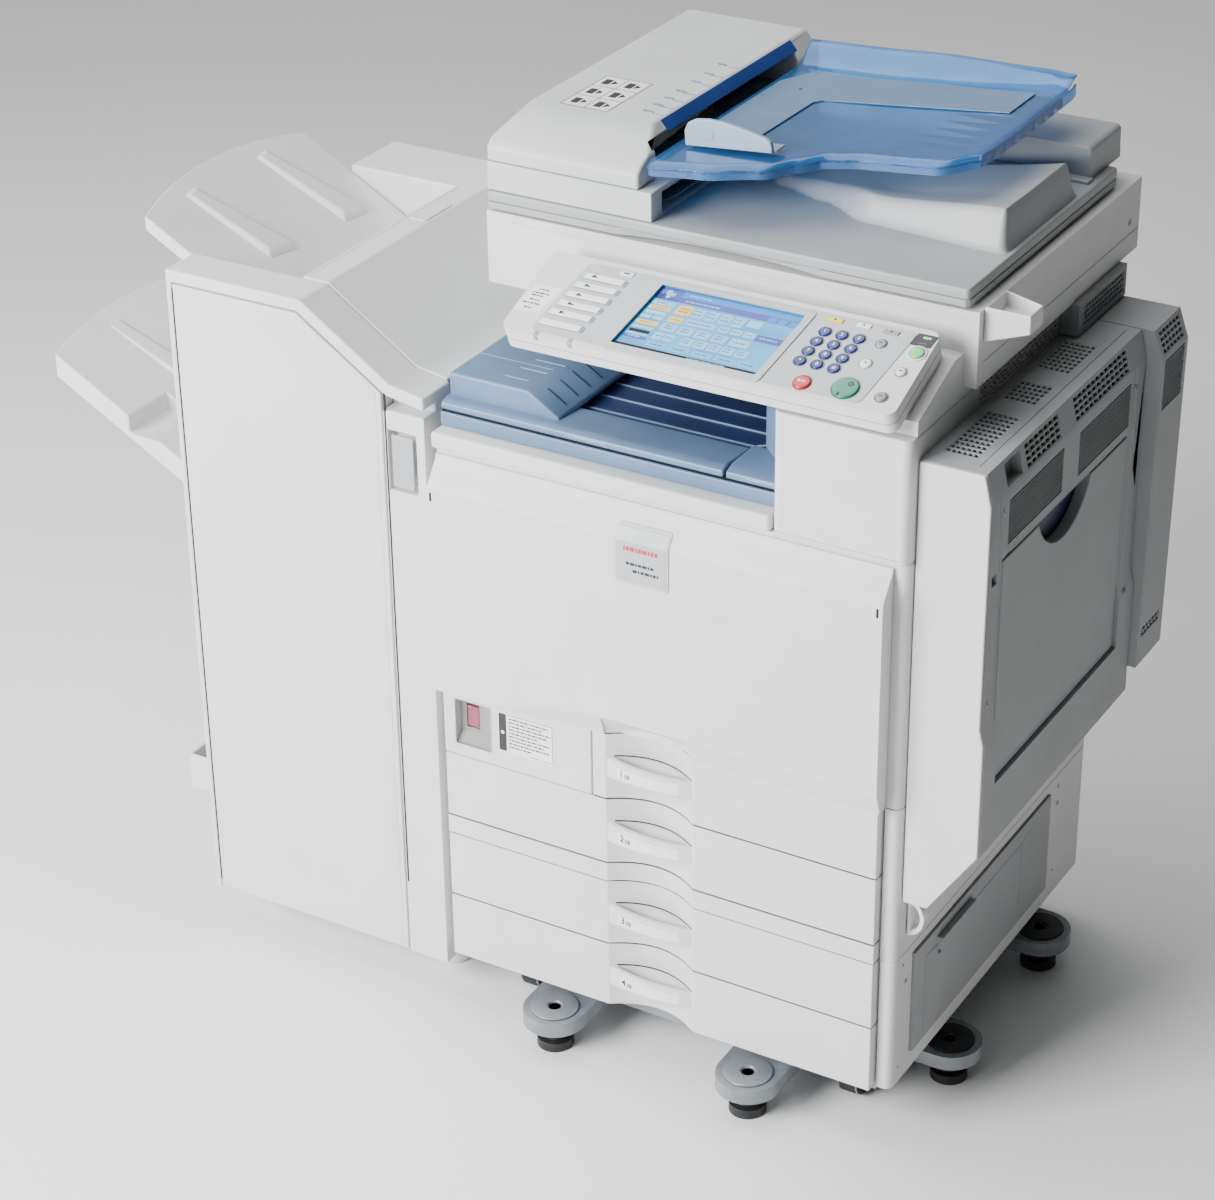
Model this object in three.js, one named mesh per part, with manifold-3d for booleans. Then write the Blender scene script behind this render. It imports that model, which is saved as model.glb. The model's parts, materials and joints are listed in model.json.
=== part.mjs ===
// Floor-standing colour photocopier with a document feeder, a two-tray paper bank and a booklet finisher.
// Millimetres. X runs to the right, Y to the back and Z up; the floor is Z 0 and the tray fronts are Y 0.
import * as THREE from "three";
import { mergeVertices } from "three/addons/utils/BufferGeometryUtils.js";
import Module from "manifold-3d";

const wasm = await Module();
wasm.setup();

// Driving dimensions
const bodyWidth = 580;
const bodyDepth = 551;
const seam = 2; // open joint line between neighbouring covers
const fit = 0.4; // gap between pieces that touch
const slideGap = 1; // gap beside a piece that slides or turns
const coverWall = 3; // thickness of a moulded cover

// Heights, stacked up from the floor
const bankBottom = 76.5;
const bankTrayHeight = 86.5;
const stripHeight = 25; // plain strip between the bank's trays and the main unit's
const mainTrayHeight = 86;
const doorHeight = 292;
const ledgeGap = 6;
const ledgeHeight = 20;
const outputHeight = 135.5; // the in-body space between the main unit and the scanner
const scannerHeight = 84.5;
const lidGap = 4;
const lidHeight = 20;
const feederHeight = 90;

const bankTop = bankBottom + 2 * bankTrayHeight;
const tray2Bottom = bankTop + stripHeight;
const doorBottom = tray2Bottom + 2 * mainTrayHeight;
const ledgeBottom = doorBottom + doorHeight + ledgeGap;
const outputFloor = ledgeBottom + ledgeHeight;
const scannerBottom = outputFloor + outputHeight;
const glassTop = scannerBottom + scannerHeight;
const lidBottom = glassTop + lidGap;
const lidTop = lidBottom + lidHeight;
const feederTop = lidTop + feederHeight;

// Plan of the main unit
const left = -bodyWidth / 2;
const right = bodyWidth / 2;
const frameFront = 13; // how far the frame stands back from the tray fronts
const frontLeft = left + 8;
const frontRight = right - 20;
const frontThickness = 24;
const cornerRadius = 10;

// Drawers
const bayLeft = left + 16;
const bayRight = right - 28;
const bayDepth = 470;
const boxDepth = 430;
const boxWall = 4;
const trayTravelRoom = 8; // free height above and below a tray box
const switchPanelWidth = 196;

// Handle column that runs up the drawers
const columnLeft = -67;
const columnWidth = 111;
const columnDepth = 20;
const columnTop = doorBottom + 28;
const handleRise = 29;
const handleHeight = 26;
const handleBulge = 9;
const handleThickness = 7;

// Front door
const doorLeft = frontLeft - 3;
const doorRight = right - 17;
const doorBulge = 12; // how far the door stands out from the tray fronts
const doorBevelRise = 258;

// Output space
const towerLeft = right - 157;
const towerTop = scannerBottom - 14;
const neckFront = 430;
const innerTrayFront = 30;
const innerTrayRight = towerLeft - 14;
const exitTrayFront = 45;
const exitTrayTop = outputFloor + 57;

// Scanner, platen cover and feeder
const scannerLeft = left + 7;
const scannerRight = right + 15;
const scannerFront = 126;
const scannerRear = bodyDepth + 10;
const glassWidth = 440;
const glassDepth = 305;
const lidLeft = left + 9;
const lidRight = right + 4;
const lidFront = 123;
const lidRear = 515;
const hingeY = 540;
const feederRight = left + 214;
const feederRear = 548;
const feederSplit = lidTop + 33;

// Operation panel, in its own tilted frame: X along it, Y up its slope, Z out of its face
const panelWidth = 458;
const panelDepth = 123;
const panelThickness = 26;
const panelTilt = 22.2;
const panelLeft = -181;
const panelFront = -14;
const panelFrontHeight = scannerBottom + 20.6;
const keyTravel = 1.2;
const keyStand = 2.2; // how far a key stands out of the panel

// Right side
const duplexFront = 27;
const duplexRear = 435;
const duplexReach = 82; // how far the duplex unit stands out from the body's side
const duplexTop = scannerBottom - 40;
const duplexShelf = doorBottom - 38.5;
const duplexToe = doorBottom - 121.5;
const bypassFront = 60;
const bypassRear = 390;
const duplexBelly = doorBottom + 101.5; // where its wider lower part begins
const bypassBottom = doorBottom + 39.5;
const bypassTop = ledgeBottom + 5.5;
const ductReach = 100;
const ductRear = 513;

// Finisher
const finisherWidth = 345.6;
const finisherFront = 11.6;
const finisherRear = 479;
const finisherTop = scannerBottom - 16;
const finisherBottom = 47;
const finisherShoulder = 186; // width of its flat top
const finisherFoot = outputFloor + 34.5; // height of its right edge
const capDepth = 55;
const finisherColumn = 56; // width of the fixed column beside its door
const trayAngle = 29; // slope of the stacking trays

// Feet
const footRadius = 38;
const footHeight = 18;
const footTop = 51.6;
const screwRadius = 7;
const padRadius = 22;
const footFront = -4.6;
const footSide = right + 3.8;
const feet = [
  { x: left + 151, y: footFront, angle: -Math.PI / 2 },
  { x: right - 170.5, y: footFront, angle: -Math.PI / 2 },
  { x: footSide, y: 167, angle: 0 },
  { x: footSide, y: 427, angle: 0 },
];

// Tools
const rad = THREE.MathUtils.degToRad;

function manifoldOf(geometry) {
  geometry.deleteAttribute("normal");
  geometry.deleteAttribute("uv");
  const merged = mergeVertices(geometry, 1e-4);
  const vertProperties = new Float32Array(merged.attributes.position.array);
  const triVerts = new Uint32Array(merged.index.array);
  return new wasm.Manifold(new wasm.Mesh({ numProp: 3, vertProperties, triVerts }));
}

function box(x0, x1, y0, y1, z0, z1) {
  const geometry = new THREE.BoxGeometry(x1 - x0, y1 - y0, z1 - z0);
  geometry.translate((x0 + x1) / 2, (y0 + y1) / 2, (z0 + z1) / 2);
  return manifoldOf(geometry);
}

// A prism along "x", "y" or "z". Its outline's two coordinates are the other two axes, in X, Y, Z order.
function prism(axis, outline, from, to, curveSegments = 4) {
  const corners = (points) => points.map(([u, v]) => new THREE.Vector2(u, v));
  const shape = Array.isArray(outline) ? new THREE.Shape(corners(outline)) : outline;
  const depth = to - from;
  const geometry = new THREE.ExtrudeGeometry(shape, { depth, bevelEnabled: false, curveSegments });
  const basis = new THREE.Matrix4();
  if (axis === "x") basis.set(0, 0, 1, from, 1, 0, 0, 0, 0, 1, 0, 0, 0, 0, 0, 1);
  if (axis === "y") basis.set(1, 0, 0, 0, 0, 0, -1, to, 0, 1, 0, 0, 0, 0, 0, 1);
  if (axis === "z") basis.makeTranslation(0, 0, from);
  geometry.applyMatrix4(basis);
  return manifoldOf(geometry);
}

function rod(axis, centre, radius, from, to, sides = 24) {
  const shape = new THREE.Shape();
  shape.absarc(centre[0], centre[1], radius, 0, 2 * Math.PI);
  return prism(axis, shape, from, to, sides / 2);
}

function roundedRect(u0, v0, u1, v1, r) {
  const shape = new THREE.Shape();
  shape.moveTo(u0 + r, v0);
  shape.lineTo(u1 - r, v0);
  shape.absarc(u1 - r, v0 + r, r, -Math.PI / 2, 0);
  shape.lineTo(u1, v1 - r);
  shape.absarc(u1 - r, v1 - r, r, 0, Math.PI / 2);
  shape.lineTo(u0 + r, v1);
  shape.absarc(u0 + r, v1 - r, r, Math.PI / 2, Math.PI);
  shape.lineTo(u0, v0 + r);
  shape.absarc(u0 + r, v0 + r, r, Math.PI, 1.5 * Math.PI);
  return shape;
}

// Points on the arc from a to b that stands off their chord by sag, on the right-hand side going from a to b.
function arc(a, b, sag, steps = 8) {
  const half = Math.hypot(b[0] - a[0], b[1] - a[1]) / 2;
  const radius = (half * half + sag * sag) / (2 * sag);
  const across = [(b[1] - a[1]) / (2 * half), (a[0] - b[0]) / (2 * half)];
  const centre = [0, 1].map((i) => (a[i] + b[i]) / 2 - across[i] * (radius - sag));
  const start = Math.atan2(a[1] - centre[1], a[0] - centre[0]);
  const sweep = 2 * Math.asin(Math.min(1, half / Math.abs(radius))) * Math.sign(sag);
  const angles = Array.from({ length: steps + 1 }, (_, i) => start + (sweep * i) / steps);
  const rim = Math.abs(radius);
  return angles.map((t) => [centre[0] + rim * Math.cos(t), centre[1] + rim * Math.sin(t)]);
}

const join = (...solids) => solids.reduce((a, b) => a.add(b));
const cut = (solid, ...tools) => tools.reduce((a, b) => a.subtract(b), solid);

const finishes = {
  white: { color: 0xe6e7e6, roughness: 0.55 },
  grey: { color: 0xc4c6c7, roughness: 0.55 },
  dark: { color: 0x2c2e33, roughness: 0.6 },
  black: { color: 0x17181a, roughness: 0.5 },
  blueGrey: { color: 0x7f9bbd, roughness: 0.45 },
  paleBlue: { color: 0xb7c9db, roughness: 0.4 },
  clearBlue: { color: 0x4f9fe6, roughness: 0.15, opacity: 0.5, transparent: true },
  glass: { color: 0xd8e6e6, roughness: 0.05, opacity: 0.4, transparent: true },
  screen: { color: 0x3fb0e6, roughness: 0.2 },
  navy: { color: 0x1f2f66, roughness: 0.35 },
  teal: { color: 0x1fa08a, roughness: 0.3 },
  red: { color: 0xd8202f, roughness: 0.3 },
  green: { color: 0x9fe0a8, roughness: 0.3 },
  pink: { color: 0xc86a86, roughness: 0.35 },
  silver: { color: 0x8d9298, roughness: 0.4, metalness: 0.2 },
};

function part(group, name, solid, finish) {
  const { numProp, vertProperties, triVerts } = solid.getMesh();
  const geometry = new THREE.BufferGeometry();
  const position = new Float32Array((vertProperties.length / numProp) * 3);
  for (let i = 0; i < position.length; i++) {
    position[i] = vertProperties[Math.floor(i / 3) * numProp + (i % 3)];
  }
  geometry.setAttribute("position", new THREE.BufferAttribute(position, 3));
  geometry.setIndex(new THREE.BufferAttribute(triVerts, 1));
  geometry.computeVertexNormals();
  const mesh = new THREE.Mesh(geometry, new THREE.MeshStandardMaterial(finishes[finish]));
  mesh.name = name;
  group.add(mesh);
  return mesh;
}

const machine = new THREE.Group();

// The concave channel that the drawer handles sit in, from z0 to z1
const columnRight = columnLeft + columnWidth;
function handleChannel(z0, z1, face = 0) {
  const back = arc([columnRight, face], [columnLeft, face], columnDepth, 10);
  return prism("z", [...back, [columnLeft, face - 2], [columnRight, face - 2]], z0, z1);
}

// A crescent bar across the channel
function handleBar(z0) {
  const end = 7;
  const outer = arc([columnLeft, 1], [columnRight, 1], handleBulge, 10);
  const inner = arc(
    [columnRight - end, handleThickness], [columnLeft + end, handleThickness], -handleBulge, 8,
  );
  return prism("z", [...outer, [columnRight, end], ...inner, [columnLeft, end]], z0, z0 + handleHeight);
}

function drawerFront(x0, z0, z1) {
  const plate = box(x0, frontRight, 0, frontThickness, z0 + seam / 2, z1 - seam / 2);
  return join(cut(plate, handleChannel(z0, z1)), handleBar(z0 + handleRise));
}

function drawerBox(x0, z0, z1) {
  const front = frontThickness + fit;
  const back = front + boxDepth;
  const x1 = bayRight - slideGap;
  const floor = z0 + trayTravelRoom;
  const rim = z1 - trayTravelRoom;
  const hollow = box(x0 + boxWall, x1 - boxWall, front + boxWall, back - boxWall, floor + boxWall, rim + 1);
  return cut(box(x0, x1, front, back, floor, rim), hollow);
}

function drawers() {
  const bottoms = [bankBottom, bankBottom + bankTrayHeight, tray2Bottom, tray2Bottom + mainTrayHeight];
  const heights = [bankTrayHeight, bankTrayHeight, mainTrayHeight, mainTrayHeight];
  const narrowLeft = frontLeft + switchPanelWidth + seam;
  bottoms.forEach((z0, i) => {
    const number = 4 - i;
    const z1 = z0 + heights[i];
    part(
      machine,
      `tray_front_${number}`,
      drawerFront(number === 1 ? narrowLeft : frontLeft, z0, z1),
      "white",
    );
    const boxLeft = number === 1 ? narrowLeft + trayTravelRoom : bayLeft + slideGap;
    part(machine, `tray_box_${number}`, drawerBox(boxLeft, z0, z1), "grey");
  });
}

// The outer block of a cabinet, cut back at the front for the drawer fronts
function cabinetBlock(z0, z1) {
  const block = prism("z", roundedRect(left, frameFront, right, bodyDepth, cornerRadius), z0, z1);
  const recessBack = frontThickness + fit;
  return cut(block, box(frontLeft - seam, frontRight + seam, 0, recessBack, z0 - 1, z1 + 1));
}

function paperBank() {
  const z0 = bankBottom;
  const z1 = bankTop - fit;
  const bay = box(bayLeft, bayRight, 0, frontThickness + bayDepth, z0 + boxWall, z1 - boxWall);
  const doorRecess = box(right - coverWall, right + 1, 60, 440, z0 + 24, z0 + 160);
  part(machine, "bank_cabinet", cut(cabinetBlock(z0, z1), bay, doorRecess), "white");

  const doorPlate = box(right - coverWall + fit, right + 3, 60 + slideGap, 440 - slideGap, z0 + 25, z0 + 159);
  const grip = box(right, right + 10, 120, 210, z0 + 130, z0 + 146);
  const gripRoom = box(right - 2, right + 7, 124, 206, z0 + 120, z0 + 142);
  part(machine, "bank_side_door", cut(join(doorPlate, grip), gripRoom), "grey");

  const frameLeft = left + 30;
  const frameRight = right - 30;
  const frame = box(frameLeft, frameRight, 40, bodyDepth - 40, footTop - 1, z0 - fit);
  const casterX = [frameLeft + 30, frameRight - 60];
  const casterY = [90, bodyDepth - 90];
  const casters = casterX.flatMap((x) => casterY.map((y) => rod("x", [y, 26], 26, x, x + 24, 20)));
  const arms = feet.map(levellingArm);
  part(machine, "base_frame", join(frame, ...casters, ...arms), "silver");
}

// A rounded arm that reaches out from under the frame, with a hole for its levelling screw
function levellingArm({ x, y, angle }) {
  const reach = 70;
  const round = Array.from({ length: 13 }, (_, i) => -Math.PI / 2 + (Math.PI * i) / 12);
  const nose = round.map((t) => [footRadius * Math.cos(t), footRadius * Math.sin(t)]);
  const place = ([u, v]) => [
    x + u * Math.cos(angle) - v * Math.sin(angle), y + u * Math.sin(angle) + v * Math.cos(angle),
  ];
  const outline = [...nose, [-reach, footRadius], [-reach, -footRadius]].map(place);
  const arm = prism("z", outline, footTop - footHeight, footTop);
  return cut(arm, rod("z", [x, y], screwRadius + fit, 0, footTop + 1, 20));
}

function levellingScrews() {
  feet.forEach(({ x, y }, i) => {
    const pad = rod("z", [0, 0], padRadius, 0, 12, 24);
    const neck = rod("z", [0, 0], padRadius * 0.6, 12, footTop - footHeight - fit, 16);
    const stem = rod("z", [0, 0], screwRadius, 0, footTop - 6, 20);
    const screw = part(machine, `foot_screw_${i + 1}`, join(pad, neck, stem), "black");
    screw.position.set(x, y, 0);
  });
}

function trayHousing() {
  const z0 = bankTop;
  const z1 = doorBottom;
  const stripTop = tray2Bottom - seam / 2;
  const strip = box(frontLeft, frontRight, 0, frontThickness + fit, z0 + seam / 2, stripTop);
  const back = frontThickness + bayDepth;
  const wideBay = box(
    bayLeft, bayRight, frontThickness, back, tray2Bottom + boxWall, tray2Bottom + mainTrayHeight,
  );
  const narrowLeft = frontLeft + switchPanelWidth + seam;
  const narrowBay = box(narrowLeft, bayRight, frontThickness, back, tray2Bottom + boxWall, z1 - boxWall);
  const cabinet = join(cabinetBlock(z0, z1), cut(strip, handleChannel(z0, tray2Bottom)));
  part(machine, "tray_housing", cut(cabinet, wideBay, narrowBay), "white");

  const panelBottom = tray2Bottom + mainTrayHeight + seam / 2;
  const panel = box(frontLeft, frontLeft + switchPanelWidth, 0, frontThickness, panelBottom, z1 - seam / 2);
  const windowLeft = frontLeft + 15;
  const windowBottom = panelBottom + 14.5;
  const opening = box(windowLeft, windowLeft + 49, -1, 16, windowBottom, windowBottom + 60);
  const rockerX = windowLeft + 17;
  const rockerZ = windowBottom + 34;
  const pocket = box(rockerX - 9, rockerX + 9, 0, 22, rockerZ - 16, rockerZ + 16);
  part(machine, "switch_panel", cut(panel, opening, pocket), "white");
  const face = arc([11, rockerZ - 13], [11, rockerZ + 13], 1.5, 4);
  const rocker = [...face.reverse(), [18, rockerZ - 13], [18, rockerZ + 13]];
  part(machine, "power_switch", prism("x", rocker, rockerX - 8, rockerX + 8), "pink");
}

function engine() {
  const z0 = doorBottom + fit;
  const z1 = ledgeBottom - fit;
  const block = prism("z", roundedRect(left, frameFront, right, bodyDepth, cornerRadius), z0, z1);
  const bayTop = doorBottom + doorHeight - 8;
  const bay = box(bayLeft, right - 70, 0, neckFront, z0 + 8, bayTop);
  const fuserFront = 70;
  const fuserRear = 400;
  const fuserBay = box(right - 58, right + 1, fuserFront, fuserRear, z0 + 30, bayTop);
  part(machine, "engine_housing", cut(block, bay, fuserBay), "white");
  const rearPlate = box(left + 6, right - 6, bodyDepth + fit, bodyDepth + fit + 4, tray2Bottom, bayTop + 6);
  part(machine, "rear_cover", rearPlate, "white");

  const fuser = prism(
    "y", roundedRect(right - 56, bayTop - 100, right - 8, bayTop - 6, 8), fuserFront + 2, fuserRear - 2,
  );
  part(machine, "fusing_unit", fuser, "dark");
  const roller = rod("y", [right - 32, z0 + 90], 16, fuserFront + 2, fuserRear - 2);
  part(machine, "transfer_roller", roller, "black");

  const drumTop = bayTop - 74;
  const drumFront = 36;
  const drumBlock = box(bayLeft + 8, right - 78, drumFront, neckFront - 12, z0 + 9, drumTop);
  const handle = box(bayLeft + 190, bayLeft + 290, drumFront - 14, drumFront, z0 + 110, z0 + 130);
  part(machine, "drum_drawer", join(drumBlock, handle), "dark");
  const bottleRadius = 32;
  const pitch = 108;
  ["black", "cyan", "magenta", "yellow"].forEach((colour, i) => {
    const at = [bayLeft + 62 + pitch * i, drumTop + fit + bottleRadius];
    const body = rod("y", at, bottleRadius, drumFront + 14, neckFront - 20, 20);
    const cap = rod("y", at, bottleRadius - 7, drumFront - 4, drumFront + 14, 16);
    part(machine, `toner_bottle_${colour}`, join(body, cap), "grey");
  });

  const zb = doorBottom + seam / 2;
  const zt = doorBottom + doorHeight;
  const bevel = doorBottom + doorBevelRise;
  const backFace = frameFront - fit;
  const profile = [[-doorBulge, zb], [backFace, zb], [backFace, zt], [-doorBulge, bevel]];
  const door = prism("x", profile, doorLeft, doorRight);
  part(machine, "front_door", cut(door, handleChannel(zb - 1, columnTop, -doorBulge)), "white");
}

function outputSpace() {
  const z0 = ledgeBottom;
  const z1 = outputFloor - fit;
  const ledge = box(left, towerLeft - seam, 7, neckFront - fit, z0, z1);
  part(machine, "output_ledge", ledge, "white");

  const outline = roundedRect(towerLeft, 7, right, neckFront - fit, cornerRadius);
  const tower = prism("z", outline, z0, towerTop);
  const exitSlot = box(towerLeft - 1, towerLeft + 10, 80, 400, outputFloor + 40, outputFloor + 64);
  part(machine, "tower_cover", cut(tower, exitSlot), "white");

  const neck = box(left, right, neckFront, bodyDepth, z0, scannerBottom - fit);
  part(machine, "rear_neck", neck, "white");

  const trayLeft = left + 1;
  const trayRear = neckFront - 10;
  const base = outputFloor;
  const lower = box(trayLeft, innerTrayRight, innerTrayFront, trayRear, base, base + 17);
  const web = box(trayLeft + 4, innerTrayRight - 4, innerTrayFront + 4, trayRear - 4, base + 17, base + 19);
  const upperTop = base + 26;
  const upper = box(trayLeft, innerTrayRight, innerTrayFront + 2, trayRear, base + 19, upperTop);
  part(machine, "inner_tray", join(lower, web, upper), "blueGrey");

  const exitBottom = upperTop + fit;
  const kink = trayLeft + 103;
  const tip = kink + 40;
  const slope = [
    [trayLeft + 2, exitBottom],
    [tip, exitBottom],
    [tip, exitBottom + 6],
    [kink, exitTrayTop],
    [trayLeft + 2, exitTrayTop],
  ];
  part(machine, "exit_tray", prism("y", slope, exitTrayFront, trayRear), "blueGrey");
}

function scanner() {
  const z0 = scannerBottom;
  const z1 = glassTop;
  const shell = box(scannerLeft, scannerRight, scannerFront, scannerRear, z0, z1);
  const room = box(scannerLeft + 12, scannerRight - 12, scannerFront + 12, scannerRear - 12, z0 + 12, z1 - 8);
  const glassLeft = scannerLeft + 60;
  const glassFront = scannerFront + 60;
  const glassRight = glassLeft + glassWidth;
  const glassRear = glassFront + glassDepth;
  const rim = 6;
  const window = box(glassLeft + rim, glassRight - rim, glassFront + rim, glassRear - rim, z1 - 9, z1 + 1);
  const seat = box(glassLeft, glassRight, glassFront, glassRear, z1 - 4, z1 + 1);
  // The bracket under the operation panel follows the panel's underside
  const slope = Math.tan(rad(panelTilt));
  const drop = panelThickness / Math.cos(rad(panelTilt)) + 3;
  const under = (y) => panelFrontHeight + (y - panelFront) * slope - drop;
  const armFront = 20;
  const armTop = under(scannerFront - 22);
  const bracket = [
    [armFront, z0 - 13],
    [scannerFront + 1, z0 - 13],
    [scannerFront + 1, armTop],
    [scannerFront - 22, armTop],
    [armFront, under(armFront)],
  ];
  const arm = prism("x", bracket, right - 28, right);
  const apron = box(panelLeft + 40, right, scannerFront - 12, scannerFront + 1, z0, z0 + 32);
  const sideFoot = box(right - 60, right, scannerFront - 1, neckFront, z0 - 13, z0 + 1);
  const housing = join(cut(shell, room, window, seat), arm, apron, sideFoot);
  part(machine, "scanner_housing", housing, "white");
  const glass = box(
    glassLeft + fit, glassRight - fit, glassFront + fit, glassRear - fit, z1 - 4 + fit, z1 - fit,
  );
  part(machine, "exposure_glass", glass, "glass");
  const carriageLeft = scannerLeft + 20;
  const carriage = box(
    carriageLeft, carriageLeft + 42, scannerFront + 24, scannerRear - 24, z0 + 24, z0 + 62,
  );
  const lightSlot = box(
    carriageLeft + 16, carriageLeft + 26, scannerFront + 50, scannerRear - 50, z0 + 40, z0 + 63,
  );
  part(machine, "scan_carriage", cut(carriage, lightSlot), "black");

  const wall = scannerRight + fit;
  const binFront = 137;
  const binReach = 50.6;
  const binBottom = glassTop - 35.5;
  const binTop = glassTop + 2.5;
  const plan = [
    [wall, binFront],
    [wall + binReach, binFront],
    [wall + binReach, binFront + 33],
    [wall, binFront + 53],
  ];
  const inner = [
    [wall + coverWall, binFront + coverWall],
    [wall + binReach - coverWall, binFront + coverWall],
    [wall + binReach - coverWall, binFront + 31],
    [wall + coverWall, binFront + 48],
  ];
  const underCut = [
    [wall - 1, binBottom - 1],
    [wall + binReach + 1, binBottom - 1],
    [wall + binReach + 1, binBottom + 18],
  ];
  const bin = cut(prism("z", plan, binBottom, binTop), prism("z", inner, binBottom + 22, binTop + 1));
  part(machine, "side_bin", cut(bin, prism("y", underCut, binFront - 1, binFront + 60)), "white");

  // Air duct up the rear right corner
  const ductFront = duplexRear + seam;
  const sideGap = right + fit;
  const lower = [
    [sideGap, duplexShelf + 30],
    [sideGap + ductReach - 4, duplexShelf + 30],
    [sideGap + ductReach, duplexTop - 34],
    [sideGap + ductReach - 12, duplexTop],
    [sideGap, duplexTop],
  ];
  const hump = box(sideGap, scannerRight + 8, ductFront - 60, ductRear, duplexTop + 2, z0 - fit);
  const riser = box(sideGap, scannerRight, ductFront + 4, ductRear - 4, duplexTop - 10, duplexTop + 10);
  part(machine, "exhaust_duct", join(prism("y", lower, ductFront, ductRear), hump, riser), "white");
}

// Pieces of the operation panel, in the panel's own frame
function operationPanel() {
  const panel = new THREE.Group();
  panel.position.set(panelLeft, panelFront, panelFrontHeight);
  panel.rotation.x = rad(panelTilt);
  machine.add(panel);
  const skin = 4;
  const plate = prism("z", roundedRect(0, 0, panelWidth, panelDepth, 12), -panelThickness, 0);
  const touch = [panelWidth - 332, 12, panelWidth - 148, 110];
  const keys = [panelWidth - 132, 37.4, panelWidth - 70, 98];
  const [t0, t1, t2, t3] = touch;
  const [k0, k1, k2, k3] = keys;
  const touchRoom = box(t0, t2, t1, t3, -skin, 1);
  const keyRoom = box(k0, k2, k1, k3, -skin - keyTravel - 1, 1);
  const buttons = [
    { name: "start_key", at: [panelWidth - 62, 22.4], radius: 14.5, finish: "teal" },
    { name: "stop_key", at: [panelWidth - 108, 17], radius: 9.5, finish: "red" },
    { name: "power_key", at: [panelWidth - 13, 88], radius: 8, finish: "green" },
  ];
  const sleeves = buttons.map((b) => rod("z", b.at, b.radius + fit, -skin - keyTravel - 1, 1, 20));
  part(panel, "panel_housing", cut(plate, touchRoom, keyRoom, ...sleeves), "white");
  const glass = box(t0 + fit, t2 - fit, t1 + fit, t3 - fit, -skin + fit, -1);
  part(panel, "touch_screen", glass, "screen");
  for (const b of buttons) {
    const key = rod("z", b.at, b.radius, -skin, keyStand, 20);
    part(panel, b.name, key, b.finish);
  }
  const mat = box(k0 + fit, k2 - fit, k1 + fit, k3 - fit, -skin, -1);
  const pitchX = 19.4;
  const pitchY = 15.2;
  const stagger = 2.3; // each row up stands this much further right
  const caps = [0, 1, 2].flatMap((column) =>
    [0, 1, 2, 3].map((row) => {
      const at = [k0 + 8.4 + pitchX * column + stagger * row, k1 + 7 + pitchY * row];
      return rod("z", at, 6.5, -2, keyStand, 12);
    }),
  );
  part(panel, "number_keys", join(mat, ...caps), "navy");
}

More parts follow.
